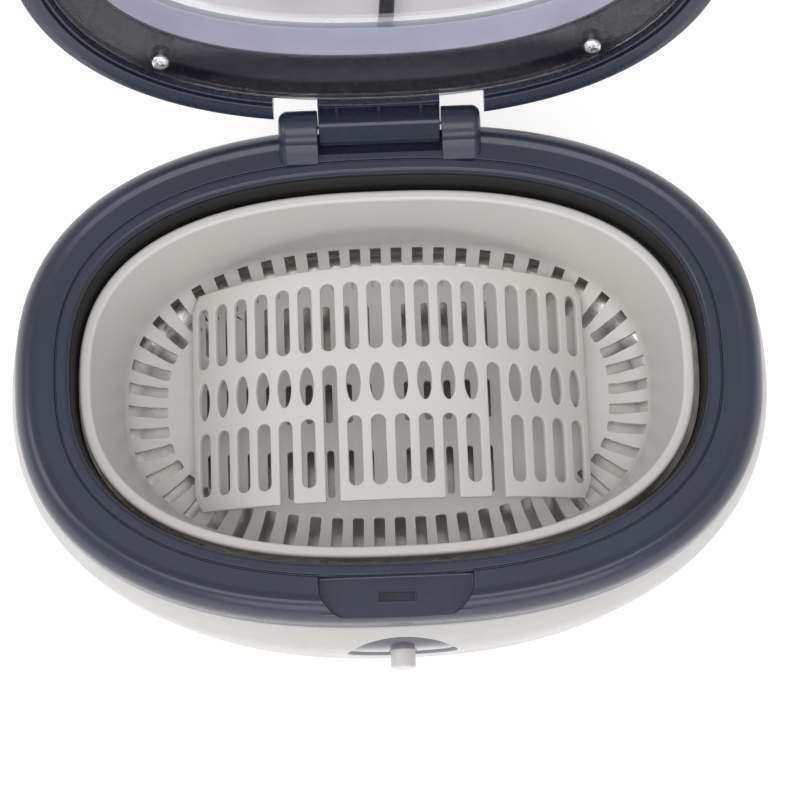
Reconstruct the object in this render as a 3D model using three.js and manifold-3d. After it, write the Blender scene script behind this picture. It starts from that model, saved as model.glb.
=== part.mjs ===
// Small bench-top ultrasonic cleaner with an oval stainless tank, a hinged lid with a clear window,
// a lift-out slotted basket and an arched rack that stands in the basket.
// Millimetres, +Z up, front (push button) towards -Y, lid hinge towards +Y.
import * as THREE from 'three';
import { mergeVertices } from 'three/addons/utils/BufferGeometryUtils.js';
import Module from 'manifold-3d';

const wasm = await Module();
wasm.setup();

// ---------------------------------------------------------------- driving dimensions
const SEG = 36;                     // facets round the large ovals
const SHIFT_Y = -31.071;              // moves the oval centre so that the origin is under the middle of the whole box
const RING_OUT = [104.1, 71.4, 2.45];   // trim ring, outer oval: half length, half width, exponent
const RING_IN = [88.3, 55.6, 2.5];      // trim ring, inner oval
const RING_TOP = 110;               // highest ridge of the trim ring
const SEAM_Z = 97;                  // top edge of the white housing
const LID_OVAL = [97.5, 67.3, 2.34];    // lid outline
const WINDOW_OVAL = [81.0, 45.4, 2.3];  // opening in the lid frame
const HINGE = [68, 111];            // hinge axis: y, z
const LID_OPEN_DEG = 118.8;         // lid angle from closed to its stop
const BASKET_RIM = [85.9, 52.9, 2.51];
const BASKET_RIM_Z = 102;
const BASKET_FLOOR_Z = 66;          // upper face of the basket floor
const BASKET_SLOTS = 56;            // slots round the bottom corner of the basket
const TANK_FLOOR_Z = 52.5;
const RACK_R = 92;                  // radius of the arched rack's upper face
const RACK_TOP = 90;                // crest of the rack
const BUTTON_R = 3.6;
const CORD_R = 2.6;                 // 5.2 mm round two-core cord
const GAP = 0.3;

// ---------------------------------------------------------------- helpers
const mat = (c, r, m, o = 1) => new THREE.MeshStandardMaterial({ color: new THREE.Color(c[0], c[1], c[2]), roughness: r, metalness: m, transparent: o < 1, opacity: o });
const WHITE = [0.80, 0.79, 0.77], SLATE = [0.075, 0.09, 0.125], BASKETC = [0.62, 0.61, 0.58], STEEL = [0.62, 0.61, 0.59], BLACK = [0.02, 0.02, 0.022];

function ovalPt(A, B, n, t) {
  const c = Math.cos(t), s = Math.sin(t);
  return [A * Math.sign(c) * Math.pow(Math.abs(c), 2 / n), B * Math.sign(s) * Math.pow(Math.abs(s), 2 / n)];
}
// skin through stacked ovals; sections are [A, B, n, z, cx]; closed = last section joins the first
function loft(sections, closed, seg = SEG) {
  const pos = [], idx = [];
  for (const [A, B, n, z, cx = 0] of sections) for (let i = 0; i < seg; i++) {
    const p = ovalPt(A, B, n, i / seg * 2 * Math.PI);
    pos.push(p[0] + cx, p[1], z);
  }
  const m = sections.length, last = closed ? m : m - 1;
  for (let k = 0; k < last; k++) for (let i = 0; i < seg; i++) {
    const a = k * seg + i, b = k * seg + (i + 1) % seg, c = ((k + 1) % m) * seg + i, d = ((k + 1) % m) * seg + (i + 1) % seg;
    idx.push(a, b, d, a, d, c);
  }
  if (!closed) {
    for (const [k, flip] of [[0, true], [m - 1, false]]) {
      const z = sections[k][3], cx = sections[k][4] || 0, ci = pos.length / 3;
      pos.push(cx, 0, z);
      for (let i = 0; i < seg; i++) { const a = k * seg + i, b = k * seg + (i + 1) % seg; flip ? idx.push(ci, b, a) : idx.push(ci, a, b); }
    }
  }
  const g = new THREE.BufferGeometry();
  g.setAttribute('position', new THREE.Float32BufferAttribute(pos, 3));
  g.setIndex(idx);
  return outward(g);
}
function outward(g) {
  const p = g.attributes.position, ix = g.index;
  let v = 0; const a = new THREE.Vector3(), b = new THREE.Vector3(), c = new THREE.Vector3();
  for (let i = 0; i < ix.count; i += 3) {
    a.fromBufferAttribute(p, ix.getX(i)); b.fromBufferAttribute(p, ix.getX(i + 1)); c.fromBufferAttribute(p, ix.getX(i + 2));
    v += a.dot(b.cross(c));
  }
  if (v < 0) { const arr = ix.array; for (let i = 0; i < arr.length; i += 3) { const t = arr[i]; arr[i] = arr[i + 1]; arr[i + 1] = t; } }
  return g;
}
function bare(g) {
  const h = g.clone(); for (const k of Object.keys(h.attributes)) if (k !== 'position') h.deleteAttribute(k);
  h.morphAttributes = {};
  return mergeVertices(h, 1e-4);
}
function solid(g) {
  const h = outward(bare(g));
  return new wasm.Manifold(new wasm.Mesh({ numProp: 3, vertProperties: new Float32Array(h.attributes.position.array), triVerts: new Uint32Array(h.index.array) }));
}
function geo(s) {
  const m = s.getMesh(); const g = new THREE.BufferGeometry(); const n = m.vertProperties.length / m.numProp; const arr = new Float32Array(n * 3);
  for (let i = 0; i < n; i++) for (let k = 0; k < 3; k++) arr[3 * i + k] = m.vertProperties[m.numProp * i + k];
  g.setAttribute('position', new THREE.BufferAttribute(arr, 3)); g.setIndex(new THREE.BufferAttribute(new Uint32Array(m.triVerts), 1));
  return g;
}
const join = (a, ...rest) => rest.reduce((x, y) => x.add(y instanceof wasm.Manifold ? y : solid(y)), a instanceof wasm.Manifold ? a : solid(a));
const cut = (a, ...rest) => rest.reduce((x, y) => x.subtract(y instanceof wasm.Manifold ? y : solid(y)), a instanceof wasm.Manifold ? a : solid(a));
const move = (g, x, y, z) => g.translate(x, y, z);
function box(x0, y0, z0, x1, y1, z1) { return move(new THREE.BoxGeometry(x1 - x0, y1 - y0, z1 - z0), (x0 + x1) / 2, (y0 + y1) / 2, (z0 + z1) / 2); }
function cylZ(x, y, z0, z1, r, seg = 20, r1 = r) { const g = new THREE.CylinderGeometry(r1, r, z1 - z0, seg); g.rotateX(Math.PI / 2); return move(g, x, y, (z0 + z1) / 2); }
function cylX(x0, x1, y, z, r, seg = 20) { const g = new THREE.CylinderGeometry(r, r, x1 - x0, seg); g.rotateZ(Math.PI / 2); return move(g, (x0 + x1) / 2, y, z); }
function cylY(y0, y1, x, z, r, seg = 20, r1 = r) { const g = new THREE.CylinderGeometry(r1, r, y1 - y0, seg); return move(g, x, (y0 + y1) / 2, z); }
// turned piece: profile of [radius, height]; axis +Z
function turned(profile, seg = 20) { const g = new THREE.LatheGeometry(profile.map(p => new THREE.Vector2(p[0], p[1])), seg); g.rotateX(Math.PI / 2); return bare(g); }
// prism from a y-z outline, from x0 to x1
function prismX(pts, x0, x1) {
  const s = new THREE.Shape(pts.map(p => new THREE.Vector2(p[0], p[1])));
  const g = new THREE.ExtrudeGeometry(s, { depth: x1 - x0, bevelEnabled: false });
  g.applyMatrix4(new THREE.Matrix4().set(0, 0, 1, x0, 1, 0, 0, 0, 0, 1, 0, 0, 0, 0, 0, 1));
  return g;
}
// prism from an x-y outline, from z0 to z1
function prismZ(pts, z0, z1) {
  const s = new THREE.Shape(pts.map(p => new THREE.Vector2(p[0], p[1])));
  const g = new THREE.ExtrudeGeometry(s, { depth: z1 - z0, bevelEnabled: false });
  return move(g, 0, 0, z0);
}
const lerp = (a, b, t) => a + (b - a) * t;
const ringAt = (s, z) => [lerp(RING_IN[0], RING_OUT[0], s), lerp(RING_IN[1], RING_OUT[1], s), lerp(RING_IN[2], RING_OUT[2], s), z];
const lidAt = (d, z) => [LID_OVAL[0] - d, LID_OVAL[1] - d, LID_OVAL[2], z];

const group = new THREE.Group();
const frame = new THREE.Group(); frame.position.y = SHIFT_Y; group.add(frame);
const lidGroup = new THREE.Group(); lidGroup.position.set(0, HINGE[0], HINGE[1]); lidGroup.rotation.x = -LID_OPEN_DEG * Math.PI / 180; frame.add(lidGroup);
const lidLocal = new THREE.Group(); lidLocal.position.set(0, -HINGE[0], -HINGE[1]); lidGroup.add(lidLocal);
function put(name, g, m, parent = frame) {
  const s = g instanceof wasm.Manifold ? geo(g) : outward(bare(g));
  const mesh = new THREE.Mesh(s, m); mesh.name = name; parent.add(mesh); return mesh;
}

// ---------------------------------------------------------------- housing: white shell
const shellOuter = [[95.6, 64.8, 2.3, 4.2], [101.8, 69.6, 2.3, 21], [106.6, 73.4, 2.28, 54], [107.9, 76.0, 2.26, 79], [106.9, 74.4, 2.28, 90], [104.6, 71.6, 2.38, SEAM_Z]];
const shellInner = [[102.3, 69.1, 2.42, SEAM_Z], [105.3, 73.3, 2.26, 79], [104.0, 70.8, 2.28, 54], [99.1, 66.9, 2.3, 21.3], [93.6, 62.8, 2.3, 4.2]];
const BOSS = [[80, 28], [-80, 28], [-80, -28], [80, -28]];
let shell = solid(loft([...shellOuter, ...shellInner], true));
for (const [x, y] of BOSS) {
  const sx = Math.sign(x);
  shell = join(shell, cylZ(x, y, 8, 26, 4.2, 10), box(Math.min(x + sx * 2, sx * 92.6), y - 1.2, 8, Math.max(x + sx * 2, sx * 92.6), y + 1.2, 22));
  shell = cut(shell, cylZ(x, y, 7, 23, 1.7, 8));
}
const PANEL_X = 1.1, PANEL_Z = 77, PANEL_R = 15.2, LENS_Z = PANEL_Z - 8.4;
shell = join(shell, cylY(65.5, 73.4, 0, 22, 9, 16));
shell = cut(shell, cylY(-90, -60, PANEL_X, PANEL_Z, PANEL_R + 0.3, 28), cylY(50, 90, 0, 22, 5.2, 12));
put('body_shell', shell, mat(WHITE, 0.38, 0));

// front panel follows the housing's curve, set back 0.7 mm
const sectOff = (arr, d) => arr.map(([A, B, n, z]) => [A - d, B - d, n, z]);
const panelSkin = solid(loft(sectOff(shellOuter, 0.7), false)).subtract(solid(loft(sectOff(shellOuter, 3.3), false)));
let panel = solid(cylY(-90, -60, PANEL_X, PANEL_Z, PANEL_R, 28)).intersect(panelSkin);
panel = cut(panel, cylY(-90, -60, PANEL_X, PANEL_Z, BUTTON_R + 0.4, 20), cylY(-90, -60, PANEL_X, LENS_Z, 1.8, 12));
put('control_panel', panel, mat([0.03, 0.04, 0.075], 0.12, 0));
put('indicator_lens', cylY(-74.6, -71.8, PANEL_X, LENS_Z, 1.5, 12), mat([0.2, 0.45, 0.9], 0.2, 0));

// push button: cap, flange behind the panel and plunger
let button = join(cylY(-80.4, -71.4, PANEL_X, PANEL_Z, BUTTON_R, 20), cylY(-71.6, -70.4, PANEL_X, PANEL_Z, 5.0, 16), cylY(-70.6, -67.7, PANEL_X, PANEL_Z, 1.2, 10));
put('power_button', button, mat([0.74, 0.73, 0.72], 0.35, 0));
// return spring stands round the switch on the switch board; 1.5 mm of travel is left before the flange
put('button_spring', turned([[2.4, 0], [3.3, 0], [3.3, 3.2], [2.4, 3.2], [2.4, 0]], 12).rotateX(-Math.PI / 2).translate(PANEL_X, -68.9, PANEL_Z), mat([0.7, 0.7, 0.7], 0.3, 1));
put('tact_switch', box(PANEL_X - 1.4, -66.0, PANEL_Z - 1.4, PANEL_X + 1.4, -63.0, PANEL_Z + 1.4), mat(BLACK, 0.5, 0));
put('switch_board', cut(box(-8, -65.4, 63, 10, -63.9, 89), box(PANEL_X - 1.8, -67, PANEL_Z - 1.8, PANEL_X + 1.8, -62, PANEL_Z + 1.8)), mat([0.05, 0.25, 0.12], 0.5, 0));

// ---------------------------------------------------------------- base
let base = solid(loft([[91.2, 60.4, 2.3, 3.0], [92.9, 62.1, 2.3, 6.4]], false, 32));
const FEET = [[58, 40], [-58, 40], [-58, -40], [58, -40]];
for (const [x, y] of BOSS) base = cut(base, cylZ(x, y, 2, 5.2, 3.8, 12), cylZ(x, y, 2, 8, 1.8, 8));
for (const [x, y] of FEET) base = cut(base, cylZ(x, y, 2, 3.8, 8.4, 16));
for (let i = 0; i < 5; i++) base = cut(base, box(-22, -16 + i * 8 - 1.6, 1, 22, -16 + i * 8 + 1.6, 9));
const POSTS = [[37, 22], [37, -22], [70, 12], [70, -12]];
for (const [x, y] of POSTS) base = cut(join(base, cylZ(x, y, 6, 12, 2.8, 8)), cylZ(x, y, 7.5, 13, 1.35, 6));
put('bottom_cover', base, mat([0.70, 0.69, 0.67], 0.5, 0));
FEET.forEach(([x, y], i) => put(['foot_rear_right', 'foot_rear_left', 'foot_front_left', 'foot_front_right'][i], turned([[0, 0], [7.2, 0], [8, 0.8], [8, 3.5], [0, 3.5]], 16).translate(x, y, 0), mat([0.05, 0.05, 0.05], 0.8, 0)));
BOSS.forEach(([x, y], i) => put(['base_screw_rear_right', 'base_screw_rear_left', 'base_screw_front_left', 'base_screw_front_right'][i], turned([[0, 3.5], [2.6, 3.5], [3.2, 4.1], [3.2, 4.9], [1.1, 4.9], [1.1, 19], [0, 20]], 8).translate(x, y, 0), mat([0.6, 0.6, 0.6], 0.3, 1)));

// ---------------------------------------------------------------- trim ring with hinge lugs, finger recess and catch pocket
let ring = solid(loft([ringAt(1, 97.3), ringAt(1, 102.6), ringAt(0.965, 105.6), ringAt(0.86, 108.2), ringAt(0.72, 109.6), ringAt(0.60, RING_TOP), ringAt(0.585, 109.5), ringAt(0.25, 109.5), ringAt(0.24, 108.8), ringAt(0.215, 108.8), ringAt(0.205, 109.5), ringAt(0.055, 109.5), ringAt(0, 108.3), ringAt(0, 107.0), ringAt(0.66, 106.6), ringAt(0.68, 93.5), ringAt(0.765, 93.5), ringAt(0.775, 97.3)], true));
ring = join(ring, box(-19.2, 59.9, 102.7, 19.2, 70.4, 108.2));
const recess = [[-20.5, -59.3], [-20.3, -63], [-19, -66], [-16.8, -68.8], [-15, -70], [-15, -78], [15, -78], [15, -70], [16.8, -68.8], [19, -66], [20.3, -63], [20.5, -59.3]];
ring = join(ring, prismZ([[-23, -59.0], [-22.6, -65], [-20, -69.2], [20, -69.2], [22.6, -65], [23, -59.0]].map(p => [p[0], p[1]]).reverse(), 102.7, 108.2));
ring = cut(ring, prismZ(recess, 106.6, 114), box(-5, -65.4, 103.9, 5, -62.9, 112));
const lug = [[57.6, 107.5], [58.6, 109.8], [60.8, 111.6]];
for (let a = 160; a >= 0; a -= 20) lug.push([HINGE[0] + 5.7 * Math.cos(a * Math.PI / 180), HINGE[1] + 5.7 * Math.sin(a * Math.PI / 180)]);
lug.push([73.2, 104], [70, 101.5], [66, 101.5], [64.5, 106.8]);
for (const sx of [-1, 1]) ring = join(ring, prismX(lug, sx > 0 ? 17.4 : -28.4, sx > 0 ? 28.4 : -17.4));
ring = cut(ring, box(-17.4, 61.3, 104.3, 17.4, 90, 125));
for (const sx of [-1, 1]) ring = cut(ring, cylX(sx > 0 ? 15 : -26, sx > 0 ? 26 : -15, HINGE[0], HINGE[1], 1.95, 10));
put('top_ring', ring, mat(SLATE, 0.32, 0));

// ---------------------------------------------------------------- tank, seal and transducer
put('tank', loft([[74.3, 41.6, 2.5, 51.6], [80.6, 47.8, 2.5, 53.4], [84.3, 51.5, 2.5, 59.6], [89.6, 56.8, 2.5, 104.5], [91.3, 58.5, 2.5, 104.5], [91.3, 58.5, 2.5, 105.4], [88.7, 55.9, 2.5, 105.4], [83.4, 50.6, 2.5, 59.8], [79.9, 47.1, 2.5, 54.1], [74.0, 41.3, 2.5, TANK_FLOOR_Z]], false), mat(STEEL, 0.18, 1));
put('tank_gasket', loft([[90.9, 58.1, 2.5, 105.75], [90.9, 58.1, 2.5, 106.3], [88.0, 55.2, 2.5, 106.3], [87.85, 55.05, 2.5, 105.4], [86.95, 54.15, 2.5, 97.4], [87.35, 54.55, 2.5, 97.4], [88.3, 55.5, 2.5, 105.75]], true, SEG), mat([0.1, 0.1, 0.1], 0.8, 0));
put('transducer_horn', turned([[3.6, 34.9], [16, 34.9], [16, 38], [21, 46], [21, 51.3], [0, 51.3], [0, 47.5], [3.6, 47.5], [3.6, 34.9]], 16), mat([0.75, 0.75, 0.76], 0.3, 1));
put('piezo_ring_upper', turned([[4.2, 31.7], [15, 31.7], [15, 34.6], [4.2, 34.6], [4.2, 31.7]], 16), mat([0.25, 0.22, 0.2], 0.6, 0));
put('electrode_plate', cut(join(cylZ(0, 0, 30.8, 31.4, 15, 16), box(12, -2, 30.8, 20, 2, 31.4)), cylZ(0, 0, 30, 32, 4.2, 8)), mat([0.8, 0.55, 0.3], 0.3, 1));
put('piezo_ring_lower', turned([[4.2, 27.6], [15, 27.6], [15, 30.5], [4.2, 30.5], [4.2, 27.6]], 16), mat([0.25, 0.22, 0.2], 0.6, 0));
put('transducer_backmass', turned([[3.6, 17.8], [14, 17.8], [15, 18.8], [15, 27.3], [3.6, 27.3], [3.6, 17.8]], 16), mat([0.5, 0.5, 0.5], 0.35, 1));
put('transducer_bolt', join(cylZ(0, 0, 12.5, 17.5, 5.6, 6), cylZ(0, 0, 17.2, 46.5, 3.1, 12)), mat([0.3, 0.3, 0.3], 0.4, 1));

// ---------------------------------------------------------------- drive electronics
let pcb = solid(box(31, -28, 12.3, 75, 28, 13.9));
for (const [x, y] of POSTS) pcb = cut(pcb, cylZ(x, y, 11, 15, 1.5, 8));
put('circuit_board', pcb, mat([0.05, 0.25, 0.12], 0.5, 0));
POSTS.slice(0, 2).forEach(([x, y], i) => put(['board_screw_rear', 'board_screw_front'][i], turned([[0, 8.2], [0.9, 8.2], [0.9, 14.2], [2.4, 14.2], [2.4, 15.4], [0, 16]], 8).translate(x, y, 0), mat([0.6, 0.6, 0.6], 0.3, 1)));
put('output_transformer', join(box(43, -12, 14.2, 58, 6, 17), cylZ(50.5, -3, 16.8, 27, 7.2, 12), box(43, -12, 26.8, 58, 6, 29.5)), mat([0.12, 0.12, 0.13], 0.6, 0));
put('filter_capacitor', turned([[0, 0], [5, 0], [5, 16], [4.2, 16.6], [0, 16.6]], 12).translate(67.5, 16.5, 14.2), mat([0.08, 0.1, 0.2], 0.4, 0));
put('film_capacitor', box(58, -25, 14.2, 71, -18, 25), mat([0.7, 0.5, 0.1], 0.5, 0));
let sink = solid(box(65, -10, 14.2, 67, 8, 34));
for (let i = 0; i < 4; i++) sink = join(sink, box(66.8, -10 + i * 5.3, 14.2, 74, -8.6 + i * 5.3, 34));
put('heat_sink', sink, mat([0.6, 0.6, 0.62], 0.4, 1));
put('power_transistor', box(60.2, -6, 17, 64.7, 4, 31), mat(BLACK, 0.5, 0));
put('fuse', cylX(42, 59, 24.6, 17.2, 2.6, 10), mat([0.8, 0.8, 0.75], 0.2, 0));
put('timer_relay', box(32, -13, 14.2, 42, 5, 28), mat([0.1, 0.2, 0.35], 0.5, 0));

// ---------------------------------------------------------------- hinge pins
put('hinge_pin_left', cylX(-25.6, -9.5, HINGE[0], HINGE[1], 1.5, 12), mat([0.6, 0.6, 0.6], 0.25, 1));
put('hinge_pin_right', cylX(9.5, 25.6, HINGE[0], HINGE[1], 1.5, 12), mat([0.6, 0.6, 0.6], 0.25, 1));

// ---------------------------------------------------------------- lid, drawn closed and turned open about the hinge
const W = WINDOW_OVAL;
let lid = solid(loft([lidAt(3.0, 111.8), lidAt(0.6, 112.7), lidAt(0, 113.8), lidAt(1.6, 119.6), lidAt(6.4, 125.2), lidAt(13, 127.8), [W[0] + 0.3, W[1] + 0.3, W[2], 128.0], [W[0], W[1], W[2], 119], [W[0] + 1.9, W[1] + 1.9, W[2], 119], [W[0] + 1.9, W[1] + 1.9, W[2], 125.2], lidAt(12.4, 125.2), lidAt(7.6, 121), lidAt(7.5, 111.9), lidAt(6.9, 111.9), lidAt(6.8, 113.2), lidAt(6.0, 113.2), lidAt(5.9, 111.8)], true));
// screw bosses
const SCREWS = [[59.3, 42.5], [-59.3, 42.5], [-59.3, -42.5], [59.3, -42.5]];
for (const [x, y] of SCREWS) lid = cut(join(lid, cylZ(x, y, 115.2, 126, 3.9, 10)), cylZ(x, y, 112, 122.5, 1.7, 8));
// clearance for the two hinge lugs
lid = cut(lid, cylX(17.1, 29.6, HINGE[0], HINGE[1], 10.5, 24), cylX(-29.6, -17.1, HINGE[0], HINGE[1], 10.5, 24));
// knuckle between the lugs, with three small ribs
const knuckle = [[62.9, 107.7], [63.5, 107.3], [69.5, 107.3], [72.2, 109.2], [72.9, 111.5], [72.2, 114], [70, 116.2], [66.5, 117.5], [62.9, 117.5]];
lid = cut(join(lid, prismX(knuckle, -17.0, 17.0)), box(-16.7, 60.9, 109, 16.7, 62.95, 114.6));
for (const x of [-11.8, 0, 11.8]) lid = join(lid, box(x - 0.5, 60.2, 112.2, x + 0.5, 63.4, 115));
for (const sx of [-1, 1]) lid = cut(lid, cylX(sx > 0 ? 9 : -18, sx > 0 ? 18 : -9, HINGE[0], HINGE[1], 1.95, 10));
// catch tongue at the front
lid = join(lid, box(-4.2, -64.9, 105.6, 4.2, -63.5, 112.6));
put('lid_frame', lid, mat(SLATE, 0.32, 0), lidLocal);
let pane = solid(loft([lidAt(8.0, 113.0), lidAt(8.0, 114.8), [W[0] - 0.3, W[1] - 0.3, W[2], 114.8], [W[0] - 0.4, W[1] - 0.4, W[2], 127.0], [W[0] - 3.0, W[1] - 3.0, W[2], 128.8], [52, 27, 2.3, 130.8], [14, 7, 2.0, 131.4]], false)).subtract(solid(loft([[W[0] - 2.0, W[1] - 2.0, W[2], 112.0], [W[0] - 2.1, W[1] - 2.1, W[2], 126.0], [W[0] - 4.2, W[1] - 4.2, W[2], 127.3], [51, 26, 2.3, 129.2], [14, 7, 2.0, 129.8]], false)));
put('lid_window', cut(pane, ...SCREWS.map(([x, y]) => cylZ(x, y, 112, 116, 1.7, 8))), mat([0.86, 0.87, 0.88], 0.06, 0, 0.3), lidLocal);
SCREWS.forEach(([x, y], i) => put(['lid_screw_rear_right', 'lid_screw_rear_left', 'lid_screw_front_left', 'lid_screw_front_right'][i], turned([[0, 110.9], [1.6, 111.0], [2.5, 111.7], [2.5, 112.7], [1.2, 112.7], [1.2, 120.5], [0, 121.3]], 10).translate(x, y, 0), mat([0.7, 0.7, 0.7], 0.25, 1), lidLocal));

// ---------------------------------------------------------------- basket
const BX = -0.5;
const bs = (A, B, z) => [A, B, 2.51, z, BX];
let basket = solid(loft([bs(68.0, 38.4, 64.4), bs(77.4, 47.2, 69.4), bs(84.0, 51.0, 98.7), bs(85.9, 52.9, 98.9), bs(85.7, 52.7, 102), bs(82.8, 49.8, 102), bs(75.8, 45.6, 70.4), bs(67.4, 37.8, BASKET_FLOOR_Z)], false, 36));
// slots wrap the corner between wall and floor; they stand a little wider apart at the four rounded ends
{
  const M = 720, pts = [], acc = [0];
  for (let i = 0; i <= M; i++) pts.push(ovalPt(72.0, 42.0, 2.51, i / M * 2 * Math.PI));
  for (let i = 1; i <= M; i++) acc.push(acc[i - 1] + Math.hypot(pts[i][0] - pts[i - 1][0], pts[i][1] - pts[i - 1][1]));
  for (let k = 0; k < BASKET_SLOTS; k++) {
    const f = (k + 0.267) / BASKET_SLOTS * 2 * Math.PI;
    const target = acc[M] * (k + 0.267 - 0.157 * Math.sin(4 * f) + 0.15 * Math.sin(2 * f) - 0.084 * Math.cos(2 * f)) / BASKET_SLOTS; let i = 1; while (acc[i] < target) i++;
    const p = pts[i], q = pts[(i + 1) % M], o = pts[i - 1];
    let nx = (q[1] - o[1]), ny = -(q[0] - o[0]); const l = Math.hypot(nx, ny); nx /= l; ny /= l;
    const g = new THREE.BoxGeometry(12.6, 3.3, 8.0); g.rotateZ(Math.atan2(ny, nx)); g.translate(p[0] - nx * 0.8 + BX, p[1] - ny * 0.8, 67.2);
    basket = cut(basket, g);
  }
}
// three rows of straight slots in the floor
for (let i = -4; i <= 4; i++) for (const [y0, y1] of [[15.2, 29.5], [-6.2, 5.8], [-28.5, -14.2]]) {
  const x = i * 11.6 + BX;
  basket = cut(basket, box(x - 2.1, y0, 63, x + 2.1, y1, 67));
}
// four legs stand on the tank floor
for (const sx of [-1, 1]) for (const sy of [-1, 1]) basket = join(basket, box(sx * 60.7 - 2.3 + BX, sy * 11 - 1.5, TANK_FLOOR_Z + GAP, sx * 60.7 + 2.3 + BX, sy * 11 + 1.5, 65.2));
put('basket', basket, mat(BASKETC, 0.42, 0));

// ---------------------------------------------------------------- arched rack: a curved plate bent about Y, with three rows of slots
{
  const T = 1.6, R = RACK_R, cz = RACK_TOP - R, aMax = 0.674;
  const outer = [], inner = []; const NS = 17;
  for (let i = 0; i <= NS; i++) { const a = -aMax + 2 * aMax * i / NS; outer.push([R * Math.sin(a), cz + R * Math.cos(a)]); inner.push([(R - T) * Math.sin(a), cz + (R - T) * Math.cos(a)]); }
  const prof = [...outer, ...inner.reverse()];
  const s = new THREE.Shape(prof.map(p => new THREE.Vector2(p[0], p[1])));
  const g = new THREE.ExtrudeGeometry(s, { depth: 80, bevelEnabled: false }); g.rotateX(Math.PI / 2); g.translate(0, 40, 0);
  // plan outline, slightly barrel-shaped with rounded corners
  const xe = 60, half = x => 34.3 - 1.94 * Math.pow(Math.abs(x) / 56, 2);
  const plan = []; for (let i = 0; i <= 8; i++) { const x = -xe + 2 * xe * i / 8; plan.push([x, half(x)]); } for (let i = 8; i >= 0; i--) { const x = -xe + 2 * xe * i / 8; plan.push([x, -half(x)]); }
  let rack = solid(g).intersect(solid(prismZ(plan, 60, 95))).intersect(solid(loft([[66.7, 37.1, 2.51, 66.2, BX], [75.1, 44.9, 2.51, 70.5, BX], [82.0, 49.0, 2.51, 102, BX]], false)));
  const pitch = 6.8 / R;
  for (let i = 0; i < 18; i++) {
    const a = (i - 8.5) * pitch, k = Math.abs(i - 8.5) / 8.5;
    const w = 2.05, x = R * Math.sin(a), yc = half(x);
    const slot = (y0, y1, tip) => {
      const o = tip > 3 ? [[-w, 0], [-w * 0.6, y0 + 1.4], [w * 0.6, y0 + 1.4], [w, 0], [w * 0.6, y1 - 1.4], [-w * 0.6, y1 - 1.4]] : [[-w, y0 + 1.2], [0, y0], [w, y0 + 1.2], [w, y1 - 1.2], [0, y1], [-w, y1 - 1.2]];
      const p = prismZ(o, -6, 6); p.rotateY(a); p.translate(x, 0, cz + R * Math.cos(a)); return p;
    };
    const open5 = (i === 4 || i === 11), open7 = (i === 6 || i === 13);
    const b0 = 9.8, b1 = yc - 4.4, f0 = -(yc - 4.4), f1 = -9.6;
    const cuts = [slot(b0, b1, 1.8)];
    if (open7) cuts.push(slot(-40, 5.6, 1.8)); else {
      cuts.push(slot(-5.6, 5.6, 4.2));
      cuts.push(open5 ? slot(-40, f1, 1.8) : slot(f0, f1, 1.8));
    }
    for (const c of cuts) rack = cut(rack, c);
  }
  put('basket_insert', rack, mat(BASKETC, 0.42, 0));
}

// ---------------------------------------------------------------- mains cord, coil and plug
const relief = cut(solid(turned([[0, 0], [4.5, 0], [4.5, 10.1], [7.2, 10.1], [7.2, 12.0], [5.4, 12.4], [3.8, 40], [0, 40]], 12).rotateX(-Math.PI / 2).translate(0, 63.6, 22)), cylY(60, 110, 0, 22, CORD_R + 0.5, 12));
put('strain_relief', relief, mat(BLACK, 0.6, 0));
put('cord_clamp', cut(box(-7, 56, 16, 7, 61.5, 28), cylY(50, 70, 0, 22, CORD_R + 0.5, 12)), mat([0.3, 0.3, 0.3], 0.6, 0));
const COIL = [42, 213];
const ROUTE = [[0, 57, 22], [0, 80, 22], [0, 104.2, 22], [0.2, 108.5, 21.3], [0.5, 114, 18.9], [0.9, 119.5, 14.9], [1.3, 125, 10.2], [1.7, 130.5, 6.2], [2.1, 136.5, 3.6], [2.6, 143, 2.75], [3.7, 154, 2.7], [4.6, 168, 2.7], [5.0, 180, 2.7], [5.0, 192.4, 2.7]];
function cordAlong(points, steps) {
  const curve = new THREE.CatmullRomCurve3(points.map(p => new THREE.Vector3(...p)), false, 'centripetal');
  const sh = new THREE.Shape(); for (let i = 0; i < 8; i++) { const a = i / 8 * 2 * Math.PI; i ? sh.lineTo(CORD_R * Math.cos(a), CORD_R * Math.sin(a)) : sh.moveTo(CORD_R, 0); }
  return new THREE.ExtrudeGeometry(sh, { steps, extrudePath: curve, bevelEnabled: false });
}
put('mains_cord', cordAlong(ROUTE, 26), mat(BLACK, 0.55, 0));
put('cord_coil', turned([[18.5, 0.1], [39.7, 0.1], [39.7, 10.7], [18.5, 10.7], [18.5, 0.1]], 28).translate(COIL[0], COIL[1], 0), mat(BLACK, 0.55, 0));
// the last turn comes off the top of the coil, crosses over the lead and ends in a two-pin plug on the table
const PX = -12, PY = COIL[1] - 37.1, PZ = 6.95;
put('plug_lead', cordAlong([[21.4, PY, 8.15], [14, PY, 8.25], [5, PY, 8.3], [-2, PY, 7.95], [-7, PY, 7.25], [PX + 0.45, PY, PZ]], 8), mat(BLACK, 0.55, 0));
put('plug_body', prismZ([[PX, PY - 6], [PX, PY + 6], [PX - 11, PY + 17.6], [PX - 22, PY + 17.6], [PX - 22, PY - 17.6], [PX - 11, PY - 17.6]].reverse(), PZ - 6.8, PZ + 6.8), mat(BLACK, 0.5, 0));
put('plug_pin_left', cylX(PX - 41, PX - 22.3, PY - 9.3, PZ, 2.0, 10), mat([0.75, 0.75, 0.76], 0.25, 1));
put('plug_pin_right', cylX(PX - 41, PX - 22.3, PY + 9.3, PZ, 2.0, 10), mat([0.75, 0.75, 0.76], 0.25, 1));
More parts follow.
